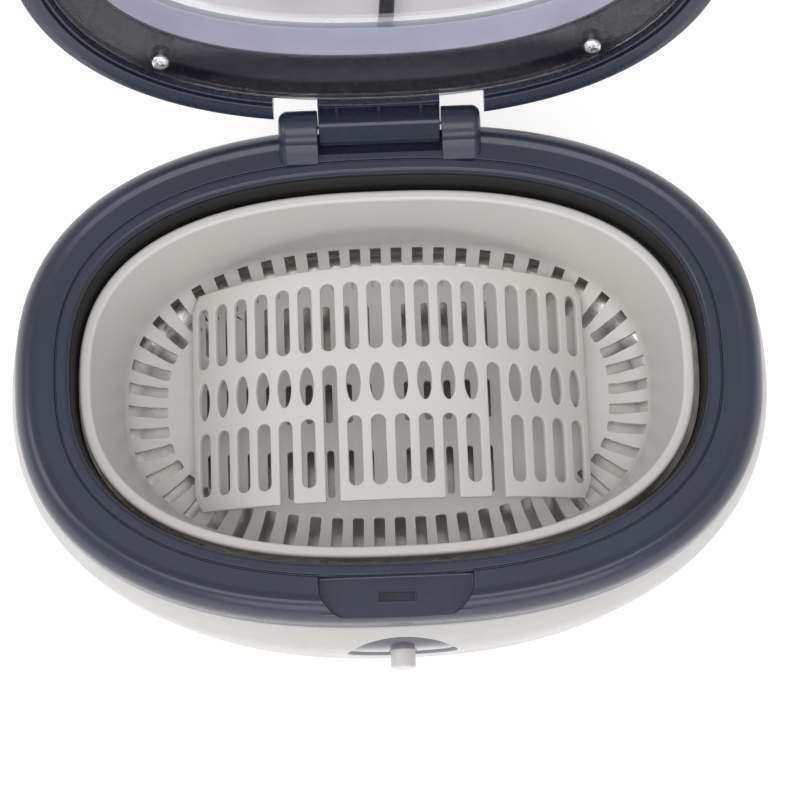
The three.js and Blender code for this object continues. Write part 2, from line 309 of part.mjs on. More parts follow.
// wire tie round the coil
put('cord_tie', cut(box(COIL[0] + 16.4, COIL[1] - 2.2, 0.05, COIL[0] + 41.6, COIL[1] + 2.2, 12.2), box(COIL[0] + 17.9, COIL[1] - 4, -1, COIL[0] + 40.3, COIL[1] + 4, 11.1)), mat(BLACK, 0.6, 0));

group.updateMatrixWorld(true);
export default group;
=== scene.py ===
import math
import bpy
import bmesh
import numpy as np
from mathutils import Vector, Matrix
from mathutils.geometry import delaunay_2d_cdt


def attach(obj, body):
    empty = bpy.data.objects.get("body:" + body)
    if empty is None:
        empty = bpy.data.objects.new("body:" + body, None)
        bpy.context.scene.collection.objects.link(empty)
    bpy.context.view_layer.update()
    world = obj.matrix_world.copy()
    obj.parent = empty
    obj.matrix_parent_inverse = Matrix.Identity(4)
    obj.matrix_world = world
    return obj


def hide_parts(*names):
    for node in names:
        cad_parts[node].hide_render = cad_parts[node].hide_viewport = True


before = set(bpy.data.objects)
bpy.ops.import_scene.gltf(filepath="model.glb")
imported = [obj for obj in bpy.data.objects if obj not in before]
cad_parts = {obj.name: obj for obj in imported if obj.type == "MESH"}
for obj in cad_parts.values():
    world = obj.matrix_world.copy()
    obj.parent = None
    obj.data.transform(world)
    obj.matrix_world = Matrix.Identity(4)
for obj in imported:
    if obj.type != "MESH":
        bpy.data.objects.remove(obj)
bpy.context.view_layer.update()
SY = -31.071                      # mm: oval centre to row frame
scene = bpy.context.scene
coll = scene.collection


def R(p):
    """millimetres about the oval centre -> metres in the row frame"""
    return Vector((p[0] / 1000.0, (p[1] + SY) / 1000.0, p[2] / 1000.0))


# ------------------------------------------------------------------ camera
back = Vector((-0.00095, -0.24180, 0.97033)).normalized()
right = Vector((0.999291, -0.036739, -0.008177))
right = (right - back * right.dot(back)).normalized()
up = back.cross(right).normalized()
cam_data = bpy.data.cameras.new("camera")
cam_data.sensor_width = 36.0
cam_data.lens = 105.512
cam_data.clip_start, cam_data.clip_end = 0.02, 20.0
cam = bpy.data.objects.new("camera", cam_data)
coll.objects.link(cam)
loc = R((2.291, -166.321, 733.923))
cam.matrix_world = Matrix(((right.x, up.x, back.x, loc.x), (right.y, up.y, back.y, loc.y), (right.z, up.z, back.z, loc.z), (0, 0, 0, 1)))
scene.camera = cam

# ------------------------------------------------------------------ materials
def nodes_of(name):
    m = bpy.data.materials.new(name)
    m.use_nodes = True
    nt = m.node_tree
    nt.nodes.clear()
    out = nt.nodes.new("ShaderNodeOutputMaterial")
    return m, nt, out


def L(nt, a, b):
    nt.links.new(a, b)


def coords(nt, scale=1000.0):
    """object coordinates in millimetres; they stay with the piece in every pose"""
    tc = nt.nodes.new("ShaderNodeTexCoord")
    mp = nt.nodes.new("ShaderNodeMapping")
    mp.inputs["Scale"].default_value = (scale, scale, scale)
    L(nt, tc.outputs["Object"], mp.inputs["Vector"])
    return mp.outputs["Vector"]


def noise(nt, vec, scale, detail=3.0, rough=0.5):
    n = nt.nodes.new("ShaderNodeTexNoise")
    n.inputs["Scale"].default_value = scale
    n.inputs["Detail"].default_value = detail
    n.inputs["Roughness"].default_value = rough
    L(nt, vec, n.inputs["Vector"])
    return n.outputs["Fac"]


def ramp(nt, fac, stops):
    r = nt.nodes.new("ShaderNodeValToRGB")
    e = r.color_ramp.elements
    while len(e) < len(stops):
        e.new(0.5)
    for el, (p, c) in zip(e, stops):
        el.position = p
        el.color = (*c, 1.0) if len(c) == 3 else c
    L(nt, fac, r.inputs["Fac"])
    return r.outputs["Color"]


def maprange(nt, v, a, b, c, d):
    m = nt.nodes.new("ShaderNodeMapRange")
    for k, x in zip(("From Min", "From Max", "To Min", "To Max"), (a, b, c, d)):
        m.inputs[k].default_value = x
    L(nt, v, m.inputs["Value"])
    return m.outputs["Result"]


def math_node(nt, op, a, b):
    m = nt.nodes.new("ShaderNodeMath")
    m.operation = op
    for i, x in enumerate((a, b)):
        if isinstance(x, (int, float)):
            m.inputs[i].default_value = x
        else:
            L(nt, x, m.inputs[i])
    return m.outputs[0]


def bump(nt, h, strength, distance, normal=None):
    b = nt.nodes.new("ShaderNodeBump")
    b.inputs["Strength"].default_value = strength
    b.inputs["Distance"].default_value = distance
    L(nt, h, b.inputs["Height"])
    if normal is not None:
        L(nt, normal, b.inputs["Normal"])
    return b.outputs["Normal"]


def mixcol(nt, fac, a, b):
    m = nt.nodes.new("ShaderNodeMix")
    m.data_type = "RGBA"
    m.clamp_factor = True
    if isinstance(fac, (int, float)):
        m.inputs[0].default_value = fac
    else:
        L(nt, fac, m.inputs[0])
    for sock, x in ((m.inputs[6], a), (m.inputs[7], b)):
        if isinstance(x, (tuple, list)):
            sock.default_value = (*x, 1.0)
        else:
            L(nt, x, sock)
    return m.outputs[2]


def plastic(name, base, rough, grain=4.0, grain_h=0.00001, var=0.05, coat=0.0, spec=0.5, edge=0.25, scratch=0.0, sheen=0.0, rough_var=0.08):
    """moulded plastic: fine mould grain, faint tone drift, handling marks in the roughness, paler worn edges"""
    m, nt, out = nodes_of(name)
    b = nt.nodes.new("ShaderNodeBsdfPrincipled")
    v = coords(nt)
    big = noise(nt, v, 0.035, 4.0, 0.55)
    fine = noise(nt, v, grain, 2.0, 0.5)
    smear = noise(nt, v, 0.16, 5.0, 0.7)
    dark = tuple(c * (1 - var) for c in base)
    light = tuple(min(1.0, c * (1 + var)) for c in base)
    col = ramp(nt, big, [(0.3, dark), (0.7, light)])
    if edge:
        g = nt.nodes.new("ShaderNodeNewGeometry")
        worn = maprange(nt, g.outputs["Pointiness"], 0.53, 0.60, 0.0, edge)
        worn = math_node(nt, "MULTIPLY", worn, maprange(nt, smear, 0.35, 0.65, 0.4, 1.0))
        col = mixcol(nt, worn, col, tuple(min(1.0, c * 1.25 + 0.03) for c in base))
    L(nt, col, b.inputs["Base Color"])
    r = maprange(nt, smear, 0.3, 0.7, max(0.02, rough - rough_var), rough + rough_var)
    if scratch:
        w = nt.nodes.new("ShaderNodeTexNoise")
        w.inputs["Scale"].default_value = 1.0
        w.inputs["Detail"].default_value = 2.0
        mp = nt.nodes.new("ShaderNodeMapping")
        mp.inputs["Scale"].default_value = (0.06, 3.2, 1.0)
        mp.inputs["Rotation"].default_value = (0, 0, 0.35)
        L(nt, v, mp.inputs["Vector"])
        L(nt, mp.outputs["Vector"], w.inputs["Vector"])
        r = math_node(nt, "ADD", r, maprange(nt, w.outputs["Fac"], 0.62, 0.72, 0.0, scratch))
    L(nt, r, b.inputs["Roughness"])
    b.inputs["Specular IOR Level"].default_value = spec
    if coat:
        b.inputs["Coat Weight"].default_value = coat
        b.inputs["Coat Roughness"].default_value = 0.06
    n1 = bump(nt, fine, 0.35, grain_h)
    n2 = bump(nt, big, 0.12, 0.00012, n1)
    L(nt, n2, b.inputs["Normal"])
    L(nt, b.outputs[0], out.inputs["Surface"])
    return m


def metal(name, base, rough, brushed=None, var=0.06, dirt=0.1, bumps=0.00002):
    """metal with brushed or turned marks, tone drift and dull smears"""
    m, nt, out = nodes_of(name)
    b = nt.nodes.new("ShaderNodeBsdfPrincipled")
    b.inputs["Metallic"].default_value = 1.0
    v = coords(nt)
    mp = nt.nodes.new("ShaderNodeMapping")
    mp.inputs["Scale"].default_value = brushed or (1, 1, 1)
    L(nt, v, mp.inputs["Vector"])
    line = noise(nt, mp.outputs["Vector"], 1.0, 3.0, 0.6)
    big = noise(nt, v, 0.06, 4.0, 0.6)
    dark = tuple(c * (1 - var) for c in base)
    col = ramp(nt, math_node(nt, "ADD", math_node(nt, "MULTIPLY", line, 0.5), math_node(nt, "MULTIPLY", big, 0.5)), [(0.35, dark), (0.65, base)])
    L(nt, col, b.inputs["Base Color"])
    r = math_node(nt, "ADD", maprange(nt, line, 0.3, 0.7, rough * 0.75, rough * 1.25), maprange(nt, big, 0.5, 0.75, 0.0, dirt))
    L(nt, r, b.inputs["Roughness"])
    L(nt, bump(nt, line, 0.3, bumps), b.inputs["Normal"])
    L(nt, b.outputs[0], out.inputs["Surface"])
    return m


def clear(name, tint, gloss=0.06, rough=0.03, haze_and_painted_reflection=0.0, haze_and_painted_reflection_col=(0.6, 0.6, 0.66)):
    """thin clear plastic: lets light through with a faint tint, reflects more at grazing angles; the haze weight mixes
    in a flat coloured layer, which is real milkiness when small and painted reflection when large, as on the window's
    bands
    """
    m, nt, out = nodes_of(name)
    v = coords(nt)
    sm = noise(nt, v, 0.05, 5.0, 0.6)
    t = nt.nodes.new("ShaderNodeBsdfTransparent")
    t.inputs["Color"].default_value = (*tint, 1.0)
    g = nt.nodes.new("ShaderNodeBsdfPrincipled")
    g.inputs["Base Color"].default_value = (*haze_and_painted_reflection_col, 1.0)
    L(nt, maprange(nt, sm, 0.35, 0.7, rough, rough + 0.05), g.inputs["Roughness"])
    g.inputs["Specular IOR Level"].default_value = 0.5
    L(nt, bump(nt, sm, 0.15, 0.0002), g.inputs["Normal"])
    gl = nt.nodes.new("ShaderNodeBsdfGlossy")
    gl.inputs["Color"].default_value = (1, 1, 1, 1)
    L(nt, maprange(nt, sm, 0.35, 0.7, rough, rough + 0.04), gl.inputs["Roughness"])
    L(nt, bump(nt, sm, 0.15, 0.0002), gl.inputs["Normal"])
    fr = nt.nodes.new("ShaderNodeFresnel")
    fr.inputs["IOR"].default_value = 1.45
    mix = nt.nodes.new("ShaderNodeMixShader")
    L(nt, math_node(nt, "MULTIPLY", fr.outputs[0], gloss), mix.inputs[0])
    L(nt, t.outputs[0], mix.inputs[1])
    L(nt, gl.outputs[0], mix.inputs[2])
    mix2 = nt.nodes.new("ShaderNodeMixShader")
    L(nt, maprange(nt, sm, 0.3, 0.75, haze_and_painted_reflection * 0.9, haze_and_painted_reflection * 1.1), mix2.inputs[0])
    L(nt, mix.outputs[0], mix2.inputs[1])
    L(nt, g.outputs[0], mix2.inputs[2])
    L(nt, mix2.outputs[0], out.inputs["Surface"])
    return m


M = {}
M["white"] = plastic("white_housing", (0.425, 0.417, 0.413), 0.34, 5.0, 0.000012, 0.015, edge=0.1, scratch=0.05)
M["slate"] = plastic("slate_trim", (0.023, 0.029, 0.052), 0.27, 4.0, 0.000008, 0.06, coat=0.04, edge=0.18, scratch=0.06, rough_var=0.05)
M["basket"] = plastic("basket_grey", (0.600, 0.588, 0.566), 0.38, 4.5, 0.000015, 0.02, edge=0.15, scratch=0.04)
M["tank"] = metal("tank_steel", (0.80, 0.77, 0.74), 0.24, (0.05, 0.05, 2.2), 0.08, 0.10)
M["panel"] = plastic("panel_gloss", (0.009, 0.013, 0.034), 0.12, 3.0, 0.000003, 0.08, coat=0.04, edge=0.1)
M["button"] = plastic("button_grey", (0.60, 0.585, 0.58), 0.30, 6.0, 0.00001, 0.02, edge=0.2)
M["lens"] = plastic("lens_blue", (0.05, 0.12, 0.5), 0.08, 3.0, 0.000002, 0.1, coat=0.8, edge=0.0)
M["base"] = plastic("base_grey", (0.42, 0.415, 0.405), 0.46, 3.5, 0.00002, 0.03, edge=0.2)
M["rubber"] = plastic("rubber_black", (0.022, 0.022, 0.024), 0.72, 5.0, 0.00003, 0.12, edge=0.35, spec=0.3)
M["screw"] = metal("screw_steel", (0.72, 0.70, 0.68), 0.20, (2.0, 2.0, 2.0), 0.10, 0.12)
M["pin"] = metal("pin_steel", (0.55, 0.55, 0.55), 0.26, (4.0, 0.5, 0.5), 0.10, 0.12)
M["alu"] = metal("aluminium", (0.78, 0.78, 0.79), 0.30, (0.4, 0.4, 5.0), 0.08, 0.12)
M["ceramic"] = plastic("ceramic", (0.22, 0.20, 0.18), 0.55, 2.0, 0.00003, 0.15, edge=0.3)
M["copper"] = metal("copper", (0.80, 0.46, 0.30), 0.28, (2.0, 2.0, 2.0), 0.16, 0.15)
M["board"] = plastic("board_green", (0.035, 0.17, 0.075), 0.38, 1.2, 0.00003, 0.18, coat=0.3, edge=0.2)
M["black"] = plastic("component_black", (0.03, 0.03, 0.032), 0.45, 3.0, 0.00002, 0.10, edge=0.3)
M["blue"] = plastic("component_blue", (0.04, 0.10, 0.26), 0.35, 2.5, 0.00001, 0.08, edge=0.2)
M["amber"] = plastic("component_amber", (0.62, 0.36, 0.06), 0.35, 2.5, 0.00001, 0.10, edge=0.2)
M["glass"] = clear("fuse_glass", (0.9, 0.9, 0.88), 1.0, 0.03, 0.08)
M["clear"] = clear("clear_cover", (0.78, 0.765, 0.79), 0.50, 0.04, 0.006)
# the next three are painted light: a lilac and a grey painted reflection and a pale painted highlight, laid as fixed
# bands on the window's walls in place of what the curved clear plastic reflects
M["clear_painted_reflection_low"] = clear("clear_cover_painted_reflection_low", (0.70, 0.70, 0.82), 0.25, 0.10, 0.78, (0.56, 0.55, 0.70))
M["clear_painted_reflection_mid"] = clear("clear_cover_painted_reflection_mid", (0.55, 0.57, 0.62), 0.25, 0.10, 0.62, (0.26, 0.28, 0.33))
M["clear_painted_highlight_rim"] = clear("clear_cover_painted_highlight_rim", (0.97, 0.97, 0.98), 0.35, 0.06, 0.30, (0.80, 0.80, 0.80))
M["cord"] = plastic("cord_black", (0.016, 0.016, 0.018), 0.42, 2.2, 0.00004, 0.12, edge=0.0, spec=0.45)

# ------------------------------------------------------------------ mesh helpers (all in mm about the oval centre)
def temp(verts, faces, name="t"):
    me = bpy.data.meshes.new(name)
    me.from_pydata([tuple(map(float, v)) for v in verts], [], [tuple(f) for f in faces])
    bm = bmesh.new()
    bm.from_mesh(me)
    bmesh.ops.recalc_face_normals(bm, faces=bm.faces)
    bm.to_mesh(me)
    bm.free()
    o = bpy.data.objects.new(name, me)
    coll.objects.link(o)
    return o


def join_raw(parts, name="j"):
    """several separate closed meshes as one object, not merged"""
    bm = bmesh.new()
    for p in parts:
        bm.from_mesh(p.data)
    me = bpy.data.meshes.new(name)
    bm.to_mesh(me)
    bm.free()
    for p in parts:
        bpy.data.objects.remove(p)
    o = bpy.data.objects.new(name, me)
    coll.objects.link(o)
    return o


def boolean(a, b, op="DIFFERENCE"):
    before = len(a.data.polygons)
    for solver in ("MANIFOLD", "EXACT"):
        m = a.modifiers.new("b", "BOOLEAN")
        m.operation = op
        m.object = b
        m.solver = solver
        dg = bpy.context.evaluated_depsgraph_get()
        dg.update()
        me = bpy.data.meshes.new_from_object(a.evaluated_get(dg))
        a.modifiers.clear()
        if len(me.polygons) > 4 and not (op == "DIFFERENCE" and len(me.polygons) == before and solver == "MANIFOLD"):
            break
    a.data = me
    bpy.data.objects.remove(b)
    return a


def cut(a, *bs):
    return boolean(a, join_raw(list(bs)), "DIFFERENCE")


def add(a, *bs):
    for b in bs:
        a = boolean(a, b, "UNION")
    return a


def oval(A, B, n, N):
    q = N // 4
    t = np.linspace(0, np.pi / 2, 1601)
    x, y = A * np.cos(t) ** (2 / n), B * np.sin(t) ** (2 / n)
    x[-1], y[0] = 0, 0
    s = np.r_[0, np.cumsum(np.hypot(np.diff(x), np.diff(y)))]
    k = np.linspace(0, s[-1], q + 1)
    qx, qy = np.interp(k, s, x), np.interp(k, s, y)
    return np.array([(qx[i], qy[i]) for i in range(q)] + [(-qx[q - i], qy[q - i]) for i in range(q)] + [(-qx[i], -qy[i]) for i in range(q)] + [(qx[q - i], -qy[q - i]) for i in range(q)])


def full(s):
    return np.array([s[0], s[1], s[2], s[3], s[4] if len(s) > 4 else 0.0], float)


def fillet(secs, rads, closed, k=4):
    """rounds the corners of a profile of oval sections; rads is a number or {index: trim distance}"""
    V = [full(s) for s in secs]
    n, res = len(V), []
    get = (lambda i: rads.get(i, rads.get("all", 0))) if isinstance(rads, dict) else (lambda i: rads)
    dist = lambda a, b: math.hypot(a[0] - b[0], a[3] - b[3])
    for i in range(n):
        r = get(i)
        if (not closed and i in (0, n - 1)) or r <= 0:
            res.append(V[i]); continue
        p, q, s = V[(i - 1) % n], V[i], V[(i + 1) % n]
        d0, d1 = dist(p, q), dist(q, s)
        a = q + (p - q) * min(0.48, r / max(d0, 1e-9))
        c = q + (s - q) * min(0.48, r / max(d1, 1e-9))
        for j in range(k + 1):
            t = j / k
            res.append(a * (1 - t) ** 2 + q * 2 * t * (1 - t) + c * t * t)
    return res


def smooth(secs, per=5):
    """Catmull-Rom through the sections"""
    V = [full(s) for s in secs]
    res = []
    for i in range(len(V) - 1):
        p0, p1, p2, p3 = V[max(0, i - 1)], V[i], V[i + 1], V[min(len(V) - 1, i + 2)]
        if i == 0: p0 = p1 * 2 - p2
        if i == len(V) - 2: p3 = p2 * 2 - p1
        for j in range(per):
            t = j / per
            res.append(0.5 * ((2 * p1) + (p2 - p0) * t + (2 * p0 - 5 * p1 + 4 * p2 - p3) * t * t + (3 * p1 - p0 - 3 * p2 + p3) * t ** 3))
    res.append(V[-1])
    return res


def loft(secs, closed, N=192, name="loft"):
    verts, faces = [], []
    for s in secs:
        s = full(s)
        for x, y in oval(s[0], s[1], s[2], N):
            verts.append((x + s[4], y, s[3]))
    m = len(secs)
    for k in range(m if closed else m - 1):
        k2 = (k + 1) % m
        for i in range(N):
            j = (i + 1) % N
            faces.append((k * N + i, k * N + j, k2 * N + j, k2 * N + i))
    if not closed:
        faces.append(tuple(range(N)))
        faces.append(tuple(range((m - 1) * N, m * N)))
    return temp(verts, faces, name)


def turned(prof, N=48, axis="Z", at=(0, 0, 0), name="turned"):
    """lathe of (radius, height); radius 0 closes it; open profiles that end off the axis are closed into a ring"""
    verts, faces, rings = [], [], []
    for r, z in prof:
        if r < 1e-6:
            rings.append([len(verts)]); verts.append((0, 0, z))
        else:
            rings.append(list(range(len(verts), len(verts) + N)))
            verts += [(r * math.cos(2 * math.pi * i / N), r * math.sin(2 * math.pi * i / N), z) for i in range(N)]
    pairs = list(zip(rings, rings[1:]))
    if len(rings[0]) > 1 and len(rings[-1]) > 1:
        pairs.append((rings[-1], rings[0]))
    for a, b in pairs:
        for i in range(N):
            j = (i + 1) % N
            if len(a) == 1 and len(b) == 1: continue
            if len(a) == 1: faces.append((a[0], b[i], b[j]))
            elif len(b) == 1: faces.append((a[i], b[0], a[j]))
            else: faces.append((a[i], a[j], b[j], b[i]))
    o = temp(verts, faces, name)
    rot = {"Z": Matrix.Identity(4), "Y": Matrix.Rotation(-math.pi / 2, 4, "X"), "-Y": Matrix.Rotation(math.pi / 2, 4, "X"), "X": Matrix.Rotation(math.pi / 2, 4, "Y")}[axis]
    o.data.transform(Matrix.Translation(at) @ rot)
    return o


def round_poly(pts, rads, k=6):
    """2D polygon with rounded corners; rads is a number or list"""
    res, n = [], len(pts)
    for i in range(n):
        r = rads[i] if isinstance(rads, (list, tuple)) else rads
        p, q, s = (np.array(pts[j % n], float) for j in (i - 1, i, i + 1))
        if r <= 0:
            res.append(tuple(q)); continue
        a, c = p - q, s - q
        la, lc = np.linalg.norm(a), np.linalg.norm(c)
        a, c = a / la, c / lc
        half = math.acos(max(-1, min(1, float(a @ c)))) / 2
        d = min(r / max(math.tan(half), 1e-6), 0.48 * la, 0.48 * lc)
        rr = d * math.tan(half)
        mid = (a + c) / max(np.linalg.norm(a + c), 1e-9)
        cen = q + mid * (rr / math.sin(half))
        p0, p1 = q + a * d, q + c * d
        a0 = math.atan2(p0[1] - cen[1], p0[0] - cen[0]); a1 = math.atan2(p1[1] - cen[1], p1[0] - cen[0])
        da = (a1 - a0 + math.pi) % (2 * math.pi) - math.pi
        for j in range(k + 1):
            t = a0 + da * j / k
            res.append((cen[0] + rr * math.cos(t), cen[1] + rr * math.sin(t)))
    return res


def prism(pts, lo, hi, axis="Z", bevel=0.0, seg=3, bevel_lo=None, bevel_hi=None):
    """polygon swept along an axis, with its two end edges rounded"""
    n = len(pts)
    def put(p, h):
        return {"Z": (p[0], p[1], h), "X": (h, p[0], p[1]), "Y": (p[0], h, p[1])}[axis]
    bl = bevel if bevel_lo is None else bevel_lo
    bh = bevel if bevel_hi is None else bevel_hi
    P2 = np.array(pts, float)
    area = 0.5 * np.sum(P2[:, 0] * np.roll(P2[:, 1], -1) - np.roll(P2[:, 0], -1) * P2[:, 1])
    if area < 0: P2 = P2[::-1]
    e = np.roll(P2, -1, 0) - P2
    e /= np.maximum(np.linalg.norm(e, axis=1, keepdims=True), 1e-9)
    nrm = np.stack([-e[:, 1], e[:, 0]], 1)          # inward for counter-clockwise
    b = nrm + np.roll(nrm, 1, 0)
    b /= np.maximum(np.linalg.norm(b, axis=1, keepdims=True), 1e-9)
    sc = 1 / np.clip(np.sum(b * nrm, 1), 0.5, 1)
    rings = []
    for j in range(seg + 1 if bl else 1):
        t = (j / seg) * math.pi / 2 if bl else math.pi / 2
        rings.append((bl * (1 - math.sin(t)), lo + bl * (1 - math.cos(t))) if bl else (0, lo))
    for j in range(seg + 1 if bh else 1):
        t = (j / seg) * math.pi / 2 if bh else 0
        rings.append((bh * (1 - math.cos(t)), hi - bh * (1 - math.sin(t))) if bh else (0, hi))
    verts, faces = [], []
    for off, h in rings:
        for p, d, s in zip(P2, b, sc):
            verts.append(put(p + d * s * off, h))
    m = len(rings)
    for k in range(m - 1):
        for i in range(n):
            j = (i + 1) % n
            faces.append((k * n + i, k * n + j, (k + 1) * n + j, (k + 1) * n + i))
    faces.append(tuple(range(n)))
    faces.append(tuple(range((m - 1) * n, m * n)))
    return temp(verts, faces, "prism")


def rect(x0, y0, x1, y1, r=0.0, k=4):
    return round_poly([(x0, y0), (x1, y0), (x1, y1), (x0, y1)], r, k) if r else [(x0, y0), (x1, y0), (x1, y1), (x0, y1)]


def block(x0, y0, z0, x1, y1, z1, r=0.4, b=0.3):
    return prism(rect(x0, y0, x1, y1, r), z0, z1, "Z", b)


def bevelled(o, width, angle=40, seg=2):
    m = o.modifiers.new("bev", "BEVEL")
    m.width = width
    m.segments = seg
    m.limit_method = "ANGLE"
    m.angle_limit = math.radians(angle)
    m.use_clamp_overlap = True
    m.miter_outer = "MITER_ARC"
    dg = bpy.context.evaluated_depsgraph_get()
    dg.update()
    me = bpy.data.meshes.new_from_object(o.evaluated_get(dg))
    o.modifiers.clear()
    o.data = me
    return o


def rotated(o, deg):
    """turns a lid piece drawn closed to the open rest pose, about the hinge axis"""
    h = Vector((0, 68, 111))
    o.data.transform(Matrix.Translation(h) @ Matrix.Rotation(math.radians(deg), 4, "X") @ Matrix.Translation(-h))
    return o


LID_DEG = -118.8


def place(o, name, body, mat, nodes=(), lid=False, angle=35, weighted=True, more=(), index=None):
    if lid:
        rotated(o, LID_DEG)
    o.data.transform(Matrix.Translation((0, SY / 1000, 0)) @ Matrix.Scale(0.001, 4))
    bm = bmesh.new()
    bm.from_mesh(o.data)
    bmesh.ops.remove_doubles(bm, verts=bm.verts, dist=1e-7)
    bmesh.ops.dissolve_degenerate(bm, edges=bm.edges, dist=1e-7)
    bmesh.ops.recalc_face_normals(bm, faces=bm.faces)
    bm.to_mesh(o.data)
    bm.free()
    o.name = name
    o.data.name = name
    o.data.materials.clear()
    o.data.materials.append(M[mat])
    for k in more:
        o.data.materials.append(M[k])
    if index is not None:
        if len(index) != len(o.data.polygons):
            raise ValueError("material bands do not match the mesh")
        o.data.polygons.foreach_set("material_index", np.array(index, dtype=np.int32))
    o.data.shade_smooth()
    o.data.set_sharp_from_angle(angle=math.radians(angle))
    if weighted:
        w = o.modifiers.new("wn", "WEIGHTED_NORMAL")
        w.keep_sharp = True
        w.weight = 60
    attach(o, body)
    if nodes:
        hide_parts(*nodes)
    return o


# ------------------------------------------------------------------ mains cord (first, because it sets the room it needs)
COIL = (42.0, 213.0)
LEAD = [(0, 60, 22), (0, 72, 22), (0, 84, 22), (0, 96, 22), (0, 104.2, 22), (0.2, 108.5, 21.3), (0.5, 114, 18.9), (0.9, 119.5, 14.9), (1.3, 125, 10.2), (1.7, 130.5, 6.2), (2.1, 136.5, 3.6), (2.6, 143, 2.75),
        (3.7, 154, 2.7), (4.6, 168, 2.7), (5.0, 180, 2.7), (4.95, 192, 2.7), (4.9, 203, 2.7)]
TURNS = []
PER = 40
radii = [37.1, 31.8, 26.5, 21.2, 26.5, 31.8, 37.1]
zs = [2.75, 2.75, 2.75, 2.75, 8.05, 8.05, 8.05]
total = 6.75                      # turns: starts on the left (180 deg), ends at the front (270 deg), clockwise from above
K = int(total * PER)
for i in range(K + 1):
    u = i / PER
    a = math.pi - 2 * math.pi * u
    # turn centres: hold each radius for most of a turn and step to the next one near its end
    j = min(int(u), 5) if u < 6 else 6
    f = u - j
    s = max(0.0, min(1.0, (f - 0.55) / 0.45)); s = s * s * (3 - 2 * s)
    k = min(j + 1, 6)
    r = radii[j] + (radii[k] - radii[j]) * s
    z = zs[j] + (zs[k] - zs[j]) * s
    TURNS.append((COIL[0] + r * math.cos(a), COIL[1] + r * math.sin(a), z))
PY = COIL[1] - 37.1
TAIL = [(36, PY, 8.05), (29, PY, 8.1), (21.4, PY, 8.15), (14, PY, 8.25), (5, PY, 8.3), (-2, PY, 7.95), (-7, PY, 7.25), (-12, PY, 6.95), (-16, PY, 6.95)]
ROUTE = LEAD + TURNS + TAIL
cu = bpy.data.curves.new("mains_cord", "CURVE")
cu.dimensions = "3D"
sp = cu.splines.new("POLY")


def resample(points, step):
    """Catmull-Rom line through the points, evenly spaced"""
    p = np.array(points, float)
    out = []
    for i in range(len(p) - 1):
        p0, p1, p2, p3 = p[max(0, i - 1)], p[i], p[i + 1], p[min(len(p) - 1, i + 2)]
        for j in range(8):
            t = j / 8
            out.append(0.5 * ((2 * p1) + (p2 - p0) * t + (2 * p0 - 5 * p1 + 4 * p2 - p3) * t * t + (3 * p1 - p0 - 3 * p2 + p3) * t ** 3))
    out.append(p[-1])
    q = np.array(out)
    s = np.r_[0, np.cumsum(np.linalg.norm(np.diff(q, axis=0), axis=1))]
    k = np.linspace(0, s[-1], int(s[-1] / step) + 1)
    return np.stack([np.interp(k, s, q[:, c]) for c in range(3)], 1), s[-1]


line, cord_len = resample(ROUTE, 4.5)
print("cord length mm", round(cord_len, 1))
sp.points.add(len(line) - 1)
for pt, p in zip(sp.points, line):
    pt.co = (*R(p), 1.0)
cu.bevel_depth = 0.0026
cu.bevel_resolution = 5
cu.use_fill_caps = True
cu.materials.append(M["cord"])
cord = bpy.data.objects.new("mains_lead", cu)
coll.objects.link(cord)
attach(cord, "housing")
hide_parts("mains_cord", "cord_coil", "plug_lead")

# plug: flat two-pin, rounded body with a waisted grip and a short sleeve
PX, PZ = -12.0, 6.95
out = round_poly([(PX, PY - 5.2), (PX, PY + 5.2), (PX - 8, PY + 9.5), (PX - 12, PY + 17.0), (PX - 22, PY + 17.6), (PX - 22, PY - 17.6), (PX - 12, PY - 17.0), (PX - 8, PY - 9.5)], [2, 2, 4, 4, 1.2, 1.2, 4, 4], 6)
plug = prism(out, PZ - 6.8, PZ + 6.8, "Z", 1.8, 5)
ribs = []
for i in range(4):
    x = PX - 10.8 - i * 2.3
    for z0, z1 in ((PZ + 6.35, PZ + 7.4), (PZ - 7.4, PZ - 6.35)):
        ribs.append(prism(rect(x - 0.45, PY - 9, x + 0.45, PY + 9, 0.4), z0, z1, "Z", 0.0))
plug = cut(plug, *ribs)
place(plug, "plug_body_moulded", "housing", "cord", ["plug_body"], angle=40)
for nm, dy in (("left", -9.3), ("right", 9.3)):
    pin = turned([(0, 0), (2.0, 0), (2.0, 17.2), (1.75, 18.2), (1.1, 18.7), (0, 18.7)], 28, "X", (0, 0, 0))
    pin.data.transform(Matrix.Rotation(math.pi, 4, "Z"))
    pin.data.transform(Matrix.Translation((PX - 22.3, PY + dy, PZ)))
    place(pin, "plug_pin_%s_metal" % nm, "housing", "screw", ["plug_pin_%s" % nm], angle=30)

# strain relief: ribbed tapered sleeve
prof = [(3.1, 0), (4.5, 0), (4.5, 10.1), (6.9, 10.1), (7.2, 10.5), (7.2, 11.7), (6.8, 12.1), (5.5, 12.4)]
for i in range(8):
    z0 = 13.2 + i * 3.1
    r = 5.3 - i * 0.17
    prof += [(r, z0), (r, z0 + 1.7), (r - 0.25, z0 + 1.95), (r - 0.9, z0 + 2.05), (r - 0.9, z0 + 2.75), (r - 0.25, z0 + 2.9)]
prof += [(3.95, 38.3), (3.85, 39.6), (3.6, 40.0), (3.1, 40.0)]
relief = turned(prof, 40, "Y", (0, 63.6, 22))
place(relief, "strain_relief_ribbed", "housing", "cord", ["strain_relief"], angle=40)

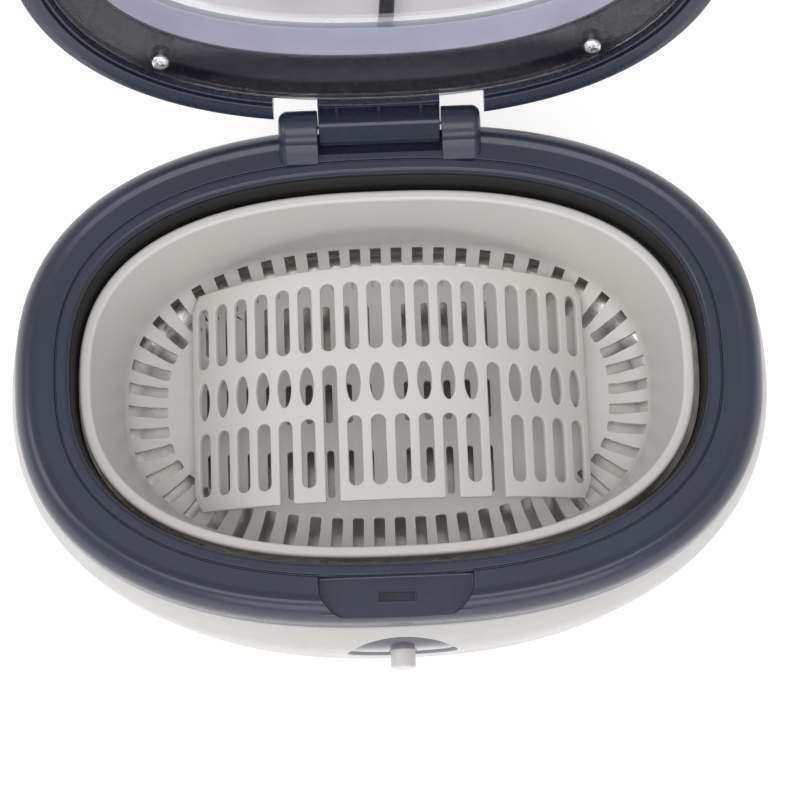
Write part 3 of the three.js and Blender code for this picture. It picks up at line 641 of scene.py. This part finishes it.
# tie: a flat twist tie round the coil, pinched at the outside
tie_out = round_poly([(COIL[0] + 16.6, 0.05), (COIL[0] + 41.8, 0.05), (COIL[0] + 41.8, 12.3), (COIL[0] + 16.6, 12.3)], 2.4, 6)
tie_in = round_poly([(COIL[0] + 17.4, 0.10), (COIL[0] + 41.0, 0.10), (COIL[0] + 41.0, 11.5), (COIL[0] + 17.4, 11.5)], 1.8, 6)
tie = prism(tie_out, COIL[1] - 2.2, COIL[1] + 2.2, "Y", 0.25)
tie = cut(tie, prism(tie_in, COIL[1] - 5, COIL[1] + 5, "Y"))
knob = prism(rect(COIL[0] + 41.4, COIL[1] - 1.6, COIL[0] + 46.5, COIL[1] + 1.6, 0.8), 3.6, 5.4, "Z", 0.3)
tie = add(tie, knob)
place(tie, "cord_tie_strap", "housing", "cord", ["cord_tie"], angle=40)

# ------------------------------------------------------------------ housing
NB = 240
OUT = smooth([[95.6, 64.8, 2.3, 4.2], [101.8, 69.6, 2.3, 21], [106.6, 73.4, 2.28, 54], [107.9, 76.0, 2.26, 79], [106.9, 74.4, 2.28, 90], [104.6, 71.6, 2.38, 97]], 6)
INN = smooth([[102.3, 69.1, 2.42, 97], [105.3, 73.3, 2.26, 79], [104.0, 70.8, 2.28, 54], [99.1, 66.9, 2.3, 21.3], [93.6, 62.8, 2.3, 4.2]], 5)
PX0, PZ0 = 1.1, 77.0
prof = OUT + INN
rads = {0: 0.7, len(OUT) - 1: 0.8, len(OUT): 0.3, len(prof) - 1: 0.3}
shell = loft(fillet(prof, rads, True, 3), True, NB)
pad = turned([(0, 0), (9.0, 0), (9.0, 7.4), (8.7, 7.8), (8.3, 7.9), (0, 7.9)], 48, "Y", (0, 65.5, 22))
shell = add(shell, pad)
posts = [turned([(0, 8), (4.2, 8), (4.2, 26), (0, 26)], 20, "Z", (x, y, 0)) for x in (80, -80) for y in (28, -28)]
shell = add(shell, *[p for p in posts])
drill = [turned([(0, 6), (1.6, 6), (1.6, 21), (0, 21)], 16, "Z", (x, y, 0)) for x in (80, -80) for y in (28, -28)]
cyl = turned([(0, 0), (15.5, 0), (15.5, 30), (0, 30)], 96, "Y", (PX0, -90, PZ0))
bore = turned([(0, 0), (5.2, 0), (5.2, 16), (0, 16)], 40, "Y", (0, 60, 22))
shell = cut(shell, cyl, bore, *drill)
place(shell, "body_shell_moulded", "housing", "white", ["body_shell"], angle=38)

# front panel: glossy disc that follows the wall, a touch below it
pan = loft(fillet([[s[0] - 0.75, s[1] - 0.75, s[2], s[3]] for s in map(full, OUT)] + [[s[0] - 3.35, s[1] - 3.35, s[2], s[3]] for s in map(full, OUT[::-1])], 0, True), True, 480)
disc = turned([(0, 0), (15.2, 0), (15.2, 30), (0, 30)], 120, "Y", (PX0, -90, PZ0))
pan = boolean(disc, pan, "INTERSECT")
pan = cut(pan, turned([(0, 0), (4.0, 0), (4.0, 34), (0, 34)], 48, "Y", (PX0, -92, PZ0)), turned([(0, 0), (1.8, 0), (1.8, 34), (0, 34)], 32, "Y", (PX0, -92, PZ0 - 8.4)))
pan = bevelled(pan, 0.22, 40, 2)
place(pan, "control_panel_gloss", "housing", "panel", ["control_panel"], angle=38)
lens = turned([(0, 0), (0.7, 0.06), (1.2, 0.22), (1.5, 0.6), (1.5, 2.8), (0, 2.8)], 32, "Y", (PX0, -74.6, PZ0 - 8.4))
place(lens, "indicator_lens_dome", "housing", "lens", ["indicator_lens"], angle=40)
btn = turned([(0, 0.35), (2.1, 0.3), (2.6, 0.06), (2.9, 0.0), (3.2, 0.12), (3.42, 0.4), (3.5, 0.9), (3.6, 8.8), (5.0, 8.8), (5.0, 10.0), (1.2, 10.0), (1.2, 12.7), (0, 12.7)], 56, "Y", (PX0, -80.4, PZ0))
place(btn, "power_button_cap", "button", "button", ["power_button"], angle=40)

# base, feet and base screws
cover = loft([full(s) for s in [[30, 20, 2.2, 3.0], [60, 38, 2.3, 3.0], [90.6, 59.8, 2.3, 3.0], [91.0, 60.2, 2.3, 3.08], [91.25, 60.45, 2.3, 3.3], [92.8, 62.0, 2.3, 6.15], [92.7, 61.9, 2.3, 6.35], [92.4, 61.6, 2.3, 6.4], [60, 38, 2.3, 6.4], [30, 20, 2.2, 6.4]]], False, NB)
vents = [prism(rect(-22, -16 + 8 * i - 1.6, 22, -16 + 8 * i + 1.6, 1.55, 6), 0, 10, "Z") for i in range(5)]
seats = [turned([(0, 2), (3.7, 2), (3.7, 4.95), (2.0, 4.96), (2.0, 8), (0, 8)], 32, "Z", (x, y, 0)) for x in (80, -80) for y in (28, -28)]
cover = cut(cover, *vents, *seats)
bp = [turned([(0, 6.0), (2.8, 6.0), (2.8, 11.8), (2.6, 12.0), (0, 12.0)], 24, "Z", (x, y, 0)) for x, y in ((37, 22), (37, -22), (70, 12), (70, -12))]
cover = add(cover, *bp)
cover = cut(cover, *[turned([(0, 8.0), (1.1, 8.0), (1.1, 14), (0, 14)], 16, "Z", (x, y, 0)) for x, y in ((37, 22), (37, -22), (70, 12), (70, -12))])
cover = bevelled(cover, 0.18, 45, 1)
place(cover, "bottom_cover_vented", "housing", "base", ["bottom_cover"], angle=38)
NM = {(1, 1): "rear_right", (-1, 1): "rear_left", (-1, -1): "front_left", (1, -1): "front_right"}
for (sx, sy), nm in NM.items():
    f = turned([(0, 0.35), (4.6, 0.35), (4.9, 0.05), (5.2, 0.0), (6.7, 0.0), (7.1, 0.25), (7.35, 0.9), (7.95, 2.7), (7.95, 3.5 - 0.5), (0, 3.0)], 48, "Z", (58 * sx, 40 * sy, 0))
    node = "foot_" + nm
    place(f, node + "_pad", "housing", "rubber", [node], angle=40)


def screw(x, y, head_z, head_r, head_h, shank_r, tip_z, up_side):
    """pan-head screw with a cross recess; up_side (+1 when the head's face looks down -Z from below) is not used"""
    h = head_h
    pr = [(0, 0.0), (head_r * 0.55, 0.0), (head_r * 0.76, 0.08 * h), (head_r * 0.90, 0.26 * h), (head_r * 0.98, 0.52 * h), (head_r, 0.80 * h), (head_r * 0.985, h), (shank_r, h)]
    z = h
    length = abs(tip_z - head_z) - h
    turns = int(length / 0.9)
    for i in range(turns):
        z0 = h + 0.3 + i * 0.9
        pr += [(shank_r, z0), (shank_r * 0.80, z0 + 0.3), (shank_r * 0.80, z0 + 0.5), (shank_r, z0 + 0.8)]
    pr += [(shank_r * 0.7, h + length - 0.5), (0, h + length)]
    s = turned(pr, 40, "Z")
    arm = []
    w, l, d = head_r * 0.14, head_r * 0.66, head_h * 0.75
    for ang in (0.35, 0.35 + math.pi / 2):
        v = [(-l, -w, -1), (l, -w, -1), (l, w, -1), (-l, w, -1), (-l * 0.45, -w * 0.7, d), (l * 0.45, -w * 0.7, d), (l * 0.45, w * 0.7, d), (-l * 0.45, w * 0.7, d)]
        f = [(0, 1, 2, 3), (4, 5, 6, 7), (0, 1, 5, 4), (1, 2, 6, 5), (2, 3, 7, 6), (3, 0, 4, 7)]
        o = temp(v, f)
        o.data.transform(Matrix.Rotation(ang, 4, "Z"))
        arm.append(o)
    for a_ in arm:
        s = boolean(s, a_, "DIFFERENCE")
    s.data.transform(Matrix.Translation((x, y, head_z)))
    return s


for (sx, sy), nm in NM.items():
    s = screw(80 * sx, 28 * sy, 3.5, 3.2, 1.4, 1.25, 20.0, 1)
    place(s, "base_screw_%s_head" % nm, "housing", "screw", ["base_screw_" + nm], angle=32)

# ------------------------------------------------------------------ trim ring with hinge lugs, finger recess and catch slot
RI, RO = np.array([88.3, 55.6, 2.5]), np.array([104.1, 71.4, 2.45])
ring_at = lambda s, z: [*(RI + (RO - RI) * s), z]
rp = [ring_at(*p) for p in [(1, 97.3), (1.0, 102.6), (.965, 105.6), (.86, 108.3), (.75, 109.75), (.665, 110.15), (.560, 109.45), (.25, 109.5), (.24, 108.8), (.215, 108.8), (.205, 109.5), (.055, 109.5), (0, 108.3), (0, 107), (.66, 106.6), (.68, 93.5), (.765, 93.5), (.775, 97.3)]]
rr = {0: 0.3, 1: 1.6, 2: 1.6, 3: 1.4, 4: 0.9, 5: 0.45, 6: 0.4, 7: 0.18, 8: 0.12, 9: 0.12, 10: 0.18, 11: 0.55, 12: 0.5, 13: 0.2, 14: 0.2, 15: 0.2, 16: 0.2, 17: 0.2}
ring = loft(fillet(rp, rr, True, 4), True, NB)
hb = prism(rect(59.9, 102.7, 70.4, 108.2), -19.2, 19.2, "X", 0.0)
lug_o = [(57.6, 107.5), (58.6, 109.8), (60.8, 111.6)] + [(68 + 5.7 * math.cos(math.radians(a)), 111 + 5.7 * math.sin(math.radians(a))) for a in range(158, -1, -8)] + [(73.2, 104), (70, 101.5), (66, 101.5), (64.5, 106.8)]
lr = [0.6, 0.9, 0.8] + [0] * 20 + [1.0, 0.5, 0.5, 0.5]
lug_o = round_poly(lug_o, [lr[i] if i < 3 else (1.0 if i >= len(lug_o) - 4 else 0) for i in range(len(lug_o))], 4)
lugs = [prism(lug_o, 17.4, 28.4, "X", 0, 5, 0.35, 2.4), prism(lug_o, -28.4, -17.4, "X", 0, 5, 2.4, 0.35)]
ring = add(ring, hb, *lugs)
cav = prism([(61.3, 104.3), (61.3, 104.3 + 9), (90, 114), (90, 104.3)], -17.4, 17.4, "X")
ring = cut(ring, cav)
ring = cut(ring, turned([(0, 0), (1.95, 0), (1.95, 8.7), (0, 8.7)], 24, "X", (17.3, 68, 111)), turned([(0, 0), (1.95, 0), (1.95, 8.7), (0, 8.7)], 24, "X", (-26.0, 68, 111)))
fb = prism(round_poly([(-24, -59), (24, -59), (21, -69.2), (-21, -69.2)], [0.5, 0.5, 2, 2]), 102.7, 108.2, "Z")
ring = add(ring, fb)
rec_half = [(14.3, -79), (14.3, -71.4), (15.4, -70.0), (17.9, -68.4), (19.8, -66.3), (20.9, -63.6), (21.1, -61.0), (21.1, -58.75)]
rec = round_poly([(-x, y) for x, y in rec_half[::-1]] + rec_half, [0.25] + [0.9] * 14 + [0.25], 4)
# the recess floor runs out at the front; the catch slot has a thin raised lip
recess = prism(rec, 106.55, 113, "Z", 0, 4, 0.7, 0.0)
slot_ = prism(rect(-4.9, -66.0, 4.9, -63.3, 0.35), 103.9, 108, "Z")
ring = cut(ring, recess)
ring = cut(ring, slot_)
lipo = prism(rect(-5.35, -66.5, 5.35, -62.8, 0.6), 106.4, 106.85, "Z", 0, 2, 0.0, 0.15)
lipi = prism(rect(-4.95, -66.05, 4.95, -63.25, 0.35), 105, 108, "Z")
lip = cut(lipo, lipi)
ring = add(ring, lip)
ring = bevelled(ring, 0.22, 42, 2)
place(ring, "top_ring_trim", "housing", "slate", ["top_ring"], angle=40)

# ------------------------------------------------------------------ tank, gasket
tk = [[74.3, 41.6, 2.5, 51.6], [80.6, 47.8, 2.5, 53.4], [84.3, 51.5, 2.5, 59.6], [89.6, 56.8, 2.5, 104.5], [91.3, 58.5, 2.5, 104.5], [91.3, 58.5, 2.5, 105.4], [88.7, 55.9, 2.5, 105.4], [83.4, 50.6, 2.5, 59.8], [79.9, 47.1, 2.5, 54.1], [74.0, 41.3, 2.5, 52.5]]
tkf = fillet(tk, {1: 2.5, 2: 3, 3: 0.4, 4: 0.2, 5: 0.2, 6: 1.0, 7: 3.2, 8: 2.8}, False, 5)
tank = loft([[24, 14, 2.2, 51.6], [50, 29, 2.4, 51.6]] + [list(map(float, r)) for r in tkf] + [[50, 29, 2.4, 52.5], [24, 14, 2.2, 52.5]], False, NB)
place(tank, "tank_drawn_steel", "housing", "tank", ["tank"], angle=40)
# the gasket's black lip runs 8 mm down the inside of the tank wall: a dark sheet as painted shade, standing for the
# shadow of the ring's inner edge and the dark reflections on the steel below it
gk = [[90.9, 58.1, 2.5, 105.75], [90.9, 58.1, 2.5, 106.3], [88.0, 55.2, 2.5, 106.3], [87.85, 55.05, 2.5, 105.4], [86.95, 54.15, 2.5, 97.4], [87.35, 54.55, 2.5, 97.4], [88.3, 55.5, 2.5, 105.75]]
gasket = loft(fillet(gk, {0: 0.1, 1: 0.15, 2: 0.25, 3: 0.3, 4: 0.12, 5: 0.12, 6: 0.3}, True, 3), True, NB)
place(gasket, "tank_gasket_with_shade_lip", "housing", "rubber", ["tank_gasket"], angle=40)

# ------------------------------------------------------------------ basket
BX = -0.5
bs = lambda A, B, z: [A, B, 2.51, z, BX]
bk = [bs(68.0, 38.4, 64.4), bs(77.4, 47.2, 69.4), bs(84.0, 51.0, 98.7), bs(85.9, 52.9, 98.9), bs(85.7, 52.7, 102), bs(82.8, 49.8, 102), bs(75.8, 45.6, 70.4), bs(67.4, 37.8, 66)]
bk_s = fillet(bk, {1: 3.5, 2: 0.6, 3: 0.7, 4: 1.1, 5: 1.0, 6: 3.6}, False, 5)
basket = loft([[22, 12, 2.2, 64.4, BX], [46, 26, 2.4, 64.4, BX]] + [list(map(float, r)) for r in bk_s] + [[46, 26, 2.4, 66, BX], [22, 12, 2.2, 66, BX]], False, NB)
legs = [block(sx * 60.7 - 2.3 + BX, sy * 11 - 1.5, 52.8, sx * 60.7 + 2.3 + BX, sy * 11 + 1.5, 65.2, 0.5, 0.3) for sx in (1, -1) for sy in (1, -1)]
basket = add(basket, *legs)
cutters = []
q = oval(72.0, 42.0, 2.51, 2240)
for k in range(56):
    f = (k + 0.267) / 56 * 2 * math.pi
    i = int(round((k + 0.267 - 0.157 * math.sin(4 * f) + 0.15 * math.sin(2 * f) - 0.084 * math.cos(2 * f)) * 40)) % 2240
    p, a, b = q[i], q[(i - 1) % 2240], q[(i + 1) % 2240]
    t = b - a
    nx, ny = t[1], -t[0]
    l = math.hypot(nx, ny); nx, ny = nx / l, ny / l
    c = prism(rect(-6.5, -1.6, 6.3, 1.6, 0.75, 3), 63.0, 71.4, "Z")
    c.data.transform(Matrix.Translation((p[0] - nx * 0.8 + BX, p[1] - ny * 0.8, 0)) @ Matrix.Rotation(math.atan2(ny, nx), 4, "Z"))
    cutters.append(c)
for i in range(-9, 10):
    for y0, y1 in ((15.2, 29.5), (-6.2, 5.8), (-28.5, -14.2)):
        x = i * 5.8 + BX
        cutters.append(prism(rect(x - 1.05, y0, x + 1.05, y1, 1.0, 4), 62, 68, "Z"))
basket = cut(basket, *cutters)
basket = bevelled(basket, 0.2, 48, 2)
place(basket, "basket_moulded", "basket", "basket", ["basket"], angle=44)


# ------------------------------------------------------------------ arched rack, made as a flat sheet with holes and then curved
def offset_loop(P, d):
    """moves a counter-clockwise loop inward by d (outward if d is negative)"""
    P = np.array(P, float)
    e = np.roll(P, -1, 0) - P
    e /= np.maximum(np.linalg.norm(e, axis=1, keepdims=True), 1e-9)
    n = np.stack([-e[:, 1], e[:, 0]], 1)
    b = n + np.roll(n, 1, 0)
    b /= np.maximum(np.linalg.norm(b, axis=1, keepdims=True), 1e-9)
    return P + b * (d / np.clip(np.sum(b * n, 1), 0.6, 1))[:, None]


def ccw(P):
    P = np.array(P, float)
    a = 0.5 * np.sum(P[:, 0] * np.roll(P[:, 1], -1) - np.roll(P[:, 0], -1) * P[:, 1])
    return P if a > 0 else P[::-1]


def densify(P, step):
    out = []
    n = len(P)
    for i in range(n):
        a, b = np.array(P[i], float), np.array(P[(i + 1) % n], float)
        k = max(1, int(np.linalg.norm(b - a) / step))
        out += [a + (b - a) * j / k for j in range(k)]
    return np.array(out)


def inside(P, poly):
    x, y = P[:, 0], P[:, 1]
    r = np.zeros(len(P), bool)
    n = len(poly)
    for i in range(n):
        (x0, y0), (x1, y1) = poly[i], poly[(i + 1) % n]
        c = (y0 > y) != (y1 > y)
        with np.errstate(divide="ignore", invalid="ignore"):
            r ^= c & (x < (x1 - x0) * (y - y0) / (y1 - y0 + 1e-12) + x0)
    return r


def sheet_solid(outline, holes, T, c, fmap, step):
    """flat sheet with holes -> curved solid plate of thickness T with eased edges"""
    loops = [densify(ccw(outline), step)] + [densify(ccw(h), step * 0.6) for h in holes]
    inset = [offset_loop(loops[0], c)] + [offset_loop(l, -c) for l in loops[1:]]
    pts, cons = [], []
    for l in inset:
        b = len(pts)
        pts += [tuple(p) for p in l]
        cons += [(b + i, b + (i + 1) % len(l)) for i in range(len(l))]
    lo, hi = inset[0].min(0), inset[0].max(0)
    gx, gy = np.meshgrid(np.arange(lo[0], hi[0], step), np.arange(lo[1], hi[1], step * 2))
    G = np.stack([gx.ravel(), gy.ravel()], 1)
    ok = inside(G, offset_loop(inset[0], step * 0.35))
    for l in inset[1:]:
        m = np.all((G > l.min(0) - 1) & (G < l.max(0) + 1), 1)
        if m.any():
            idx = np.where(m)[0]
            ok[idx] &= ~inside(G[idx], offset_loop(l, -step * 0.35))
    pts += [tuple(p) for p in G[ok]]
    nb = sum(len(l) for l in inset)
    V, E, F, ov, oe, of = delaunay_2d_cdt([Vector(p) for p in pts], cons, [], 0, 1e-5)
    V = np.array([(v.x, v.y) for v in V])
    to_new = {}
    for i, src in enumerate(ov):
        for s in src:
            to_new[s] = i
    T3 = np.array([f for f in F if len(f) == 3])
    C = V[T3].mean(1)
    keep = inside(C, inset[0])
    for l in inset[1:]:
        m = np.all((C > l.min(0)) & (C < l.max(0)), 1)
        idx = np.where(m & keep)[0]
        if len(idx): keep[idx] &= ~inside(C[idx], l)
    T3 = T3[keep]
    n = len(V)
    verts = [fmap(p[0], p[1], T) for p in V] + [fmap(p[0], p[1], 0.0) for p in V]
    faces = [tuple(t) for t in T3] + [tuple(int(i) + n for i in t[::-1]) for t in T3]
    off = 0
    for l, ins in zip(loops, inset):
        L_ = len(l)
        top = [to_new[off + i] for i in range(L_)]
        bot = [to_new[off + i] + n for i in range(L_)]
        rings = [top]
        for d_, h in ((0.30, T - 0.0 - c * 0.30), (1.0, T - c), (1.0, c), (0.30, c * 0.30)):
            b = len(verts)
            pp = ins + (l - ins) * (d_ if d_ == 1.0 else 0.70)
            verts += [fmap(p[0], p[1], h) for p in pp]
            rings.append(list(range(b, b + L_)))
        rings.append(bot)
        for a, b in zip(rings, rings[1:]):
            faces += [(a[i], a[(i + 1) % L_], b[(i + 1) % L_], b[i]) for i in range(L_)]
        off += L_
    return temp(verts, faces, "sheet")


RR, RT, CZ = 92.0, 1.6, -2.0
amax = 0.674


def rack_map(s, y, h):
    a = s / RR
    r = RR - RT + h
    return (r * math.sin(a), y, CZ + r * math.cos(a))


def halfw(x):
    return 34.3 - 1.94 * (abs(x) / 56) ** 2


s_max = RR * amax
outline = []
def limit_y(x):
    """plan outline: barrel sides; the corners are cut where the plate's underside meets the basket's sloping corner"""
    z = CZ + math.sqrt((RR - RT) ** 2 - min(x * x, 60.0 ** 2))
    f = max(0.0, min(1.0, (z - 66.2) / 4.3))
    A, B = 66.6 + 8.4 * f, 37.0 + 7.8 * f
    if z > 70.5:
        f = (z - 70.5) / 31.5
        A, B = 75.0 + 6.9 * f, 44.8 + 4.1 * f
    xx = min(abs(x) + 0.5, A - 0.1)
    return min(halfw(x), B * (1 - (xx / A) ** 2.51) ** (1 / 2.51))
ss = np.linspace(-s_max, s_max, 90)
upper = [(s, limit_y(RR * math.sin(s / RR))) for s in ss]
poly = upper[::-1] + [(s, -y) for s, y in upper]
poly = [tuple(p) for p in ccw(poly)]
holes, notches = [], []
for i in range(18):
    s0 = (i - 8.5) * 6.8
    yc = halfw(RR * math.sin(s0 / RR))
    w = 2.05
    def stad(y0, y1, r=None):
        r = w if r is None else r
        return round_poly([(s0 - w, y0), (s0 + w, y0), (s0 + w, y1), (s0 - w, y1)], r * 0.98, 8)
    def ellip(h):
        return [(s0 + w * math.cos(t), h * math.sin(t)) for t in np.linspace(0, 2 * math.pi, 37)[:-1]]
    holes.append(stad(9.8, yc - 4.4))
    if i in (6, 13):
        notches.append((s0, 5.6, w))
    else:
        holes.append(ellip(5.6))
        if i in (4, 11):
            notches.append((s0, -9.6, w))
        else:
            holes.append(stad(-(yc - 4.4), -9.6))
# open slots run out through the front edge: insert them in the outline
pts2 = []
for s, y in upper: pts2.append((s, -y))
merged = []
done = set()
for k in range(len(pts2)):
    s, y = pts2[k]
    hit = [j for j, (s0, yt, w) in enumerate(notches) if s0 - w - 0.25 <= s <= s0 + w + 0.25]
    if hit:
        j = hit[0]
        if j in done: continue
        done.add(j)
        s0, yt, w = notches[j]
        ye = -limit_y(RR * math.sin(s0 / RR))
        merged += [(s0 - w - 0.4, ye), (s0 - w - 0.12, ye + 0.1), (s0 - w, ye + 0.45)]
        merged += [(s0 + w * math.cos(t), yt - w + w * math.sin(t)) for t in np.linspace(math.pi, 0, 13)]
        merged += [(s0 + w, ye + 0.45), (s0 + w + 0.12, ye + 0.1), (s0 + w + 0.4, ye)]
    else:
        merged.append((s, y))
poly = merged + [tuple(p) for p in upper[::-1]]
rack = sheet_solid(poly, holes, RT, 0.3, rack_map, 1.3)
place(rack, "basket_insert_arched", "insert", "basket", ["basket_insert"], angle=60)

# ------------------------------------------------------------------ lid frame
W = [81.0, 45.4, 2.3]
lid_at = lambda d, z: [97.5 - d, 67.3 - d, 2.34, z]
wo = lambda d, z: [W[0] + d, W[1] + d, W[2], z]
lp = [lid_at(3.0, 111.8), lid_at(0.6, 112.7), lid_at(0, 113.8), lid_at(1.6, 119.6), lid_at(6.4, 125.2), lid_at(13, 127.8), wo(0.3, 128.0), wo(0, 119), wo(1.9, 119), wo(1.9, 125.2), lid_at(12.4, 125.2), lid_at(7.6, 121), lid_at(7.5, 111.9), lid_at(6.9, 111.9), lid_at(6.8, 113.2), lid_at(6.0, 113.2), lid_at(5.9, 111.8)]
lr = {0: 0.9, 1: 0.8, 2: 0.9, 3: 3.0, 4: 3.5, 5: 3.0, 6: 0.6, 7: 0.4, 8: 0.3, 9: 0.5, 10: 0.6, 11: 0.8, 12: 0.25, 13: 0.2, 14: 0.2, 15: 0.2, 16: 0.35}
lid = loft(fillet(lp, lr, True, 5), True, NB)
SC = [(59.3, 42.5, "rear_right"), (-59.3, 42.5, "rear_left"), (-59.3, -42.5, "front_left"), (59.3, -42.5, "front_right")]
lid = add(lid, *[turned([(0, 115.3), (3.7, 115.3), (3.9, 115.5), (3.9, 126), (0, 126)], 36, "Z", (x, y, 0)) for x, y, _ in SC])
lid = cut(lid, *[turned([(0, 112), (1.3, 112), (1.3, 122.5), (0, 122.5)], 20, "Z", (x, y, 0)) for x, y, _ in SC])
lid = cut(lid, *[turned([(0, 0), (10.5, 0), (10.5, 12.5), (0, 12.5)], 96, "X", (x, 68, 111)) for x in (17.1, -29.6)])
kn = round_poly([(62.9, 107.9), (63.6, 107.3), (69.5, 107.3), (72.2, 109.2), (72.9, 111.5), (72.2, 114), (70, 116.2), (66.5, 117.5), (62.9, 117.5)], [0.3, 0.3, 1.0, 1.2, 1.2, 1.2, 1.2, 1.0, 0.3], 4)
lid = add(lid, prism(kn, -17.0, 17.0, "X", 0.3))
pocket = prism(rect(60.9, 109.0, 62.95, 114.6, 0.3), -16.7, 16.7, "X", 0.0)
lid = cut(lid, pocket)
lid = add(lid, *[prism(rect(60.2, 112.2, 63.4, 115.0), x - 0.5, x + 0.5, "X", 0.1) for x in (-11.8, 0, 11.8)])
lid = cut(lid, turned([(0, 0), (1.7, 0), (1.7, 9.1), (0, 9.1)], 24, "X", (9, 68, 111)), turned([(0, 0), (1.7, 0), (1.7, 9.1), (0, 9.1)], 24, "X", (-18.1, 68, 111)))
tg = round_poly([(-64.9, 105.6), (-63.7, 105.6), (-63.5, 106.4), (-63.5, 112.6), (-64.9, 112.6)], [0.4, 0.3, 0.5, 0, 0], 4)
lid = add(lid, prism(tg, -4.2, 4.2, "X", 0.3))
lid = bevelled(lid, 0.2, 45, 2)
place(lid, "lid_frame_moulded", "lid", "slate", ["lid_frame"], lid=True, angle=40)

# ------------------------------------------------------------------ clear window
wp = [wo(-79.0, 130.05), wo(-67, 129.8), wo(-30, 129.2), wo(-4.2, 127.3), wo(-2.1, 126), wo(-2.0, 113.0), lid_at(8.0, 113.0), lid_at(8.0, 114.8), wo(-0.3, 114.8), wo(-0.4, 127.0), wo(-3.0, 128.8), wo(-30, 130.8), wo(-67, 131.4), wo(-79.0, 131.62)]
wp[0] = [2.0, 1.2, 2.0, 130.0]; wp[1] = [14, 7, 2.0, 129.8]; wp[2] = [51, 26, 2.3, 129.2]
wp[11] = [52, 27, 2.3, 130.8]; wp[12] = [14, 7, 2.0, 131.4]; wp[13] = [2.0, 1.2, 2.0, 131.6]
win = loft(fillet(wp, {1: 6, 2: 12, 3: 2.0, 4: 1.0, 5: 0.5, 6: 0.4, 7: 0.4, 8: 0.6, 9: 1.4, 10: 1.6, 11: 12, 12: 6}, False, 5), False, NB)
win = cut(win, *[turned([(0, 112), (1.7, 112), (1.7, 116), (0, 116)], 24, "Z", (x, y, 0)) for x, y, _ in SC])


def painted_reflection_band(c):
    """material index of a window face from its height and place in the closed lid: 1 and 2 are painted reflections,
    lilac and grey bands on the window's side wall, and 3 is a painted highlight along its top edge; they stay fixed on
    the window in every view
    """
    r = (abs(c.x) / 80.0) ** 2.3 + (abs(c.y) / 44.4) ** 2.3
    if r < 0.86 or r > 1.09 or c.z < 115.2:
        return 0
    return 1 if c.z < 119.4 else (2 if c.z < 126.6 else 3)


painted_reflection_index = [painted_reflection_band(p.center) for p in win.data.polygons]
place(win, "lid_window_clear", "lid", "clear", ["lid_window"], lid=True, angle=35, more=("clear_painted_reflection_low", "clear_painted_reflection_mid", "clear_painted_highlight_rim"), index=painted_reflection_index)
for x, y, nm in SC:
    s = screw(x, y, 111.35, 2.5, 1.3, 1.15, 121.3, 1)
    place(s, "lid_screw_%s_head" % nm, "lid", "screw", ["lid_screw_" + nm], lid=True, angle=32)

# ------------------------------------------------------------------ CAD nodes that stay: inner pieces, each with its own finish
CARRY = {"button_spring": "pin", "tact_switch": "black", "switch_board": "board", "transducer_horn": "alu", "piezo_ring_upper": "ceramic", "electrode_plate": "copper",
         "piezo_ring_lower": "ceramic", "transducer_backmass": "pin", "transducer_bolt": "pin", "circuit_board": "board", "board_screw_rear": "screw", "board_screw_front": "screw", "output_transformer": "black",
         "filter_capacitor": "blue", "film_capacitor": "amber", "heat_sink": "alu", "power_transistor": "black", "fuse": "glass", "timer_relay": "blue", "hinge_pin_left": "pin", "hinge_pin_right": "pin", "cord_clamp": "base"}
for n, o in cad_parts.items():
    if o.hide_render:
        continue
    m = M[CARRY.get(n, "base")]
    o.data.materials.clear()
    o.data.materials.append(m)

# ------------------------------------------------------------------ floor, studio light
def plane(name, x0, y0, x1, y1, z):
    me = bpy.data.meshes.new(name)
    me.from_pydata([(x0, y0, z), (x1, y0, z), (x1, y1, z), (x0, y1, z)], [], [(0, 1, 2, 3)])
    o = bpy.data.objects.new(name, me)
    coll.objects.link(o)
    return o


floor = plane("floor", -6, -6, 6, 6, -0.0002)
m, nt, out = nodes_of("floor_pale")
b = nt.nodes.new("ShaderNodeBsdfPrincipled")
v = coords(nt)
L(nt, ramp(nt, noise(nt, v, 0.01, 3.0), [(0.3, (0.93, 0.93, 0.93)), (0.7, (0.96, 0.96, 0.96))]), b.inputs["Base Color"])
b.inputs["Roughness"].default_value = 0.85
b.inputs["Specular IOR Level"].default_value = 0.15
b.inputs["Emission Color"].default_value = (1, 1, 1, 1)
b.inputs["Emission Strength"].default_value = 0.32
L(nt, b.outputs[0], out.inputs["Surface"])
floor.data.materials.append(m)

w = bpy.data.worlds.new("studio")
scene.world = w
w.use_nodes = True
bg = w.node_tree.nodes["Background"]
bg.inputs["Color"].default_value = (1.0, 0.995, 0.985, 1.0)
bg.inputs["Strength"].default_value = 0.68


def area(name, loc, target, sx, sy, power, col=(1, 1, 1)):
    d = bpy.data.lights.new(name, "AREA")
    d.shape = "RECTANGLE"
    d.size, d.size_y = sx, sy
    d.energy = power
    d.color = col
    o = bpy.data.objects.new(name, d)
    coll.objects.link(o)
    o.location = loc
    o.rotation_euler = (Vector(target) - Vector(loc)).to_track_quat("-Z", "Y").to_euler()
    return o


area("overhead", (0.0, -0.50, 1.45), (0, 0, 0.08), 1.2, 0.8, 6.8)
area("side", (-1.0, -0.1, 0.95), (0, 0, 0.08), 0.6, 0.8, 3.2)
area("front", (0.1, -1.25, 0.60), (0, 0, 0.08), 1.2, 0.5, 4.2)
scene.view_settings.view_transform = "Standard"
scene.view_settings.look = "None"
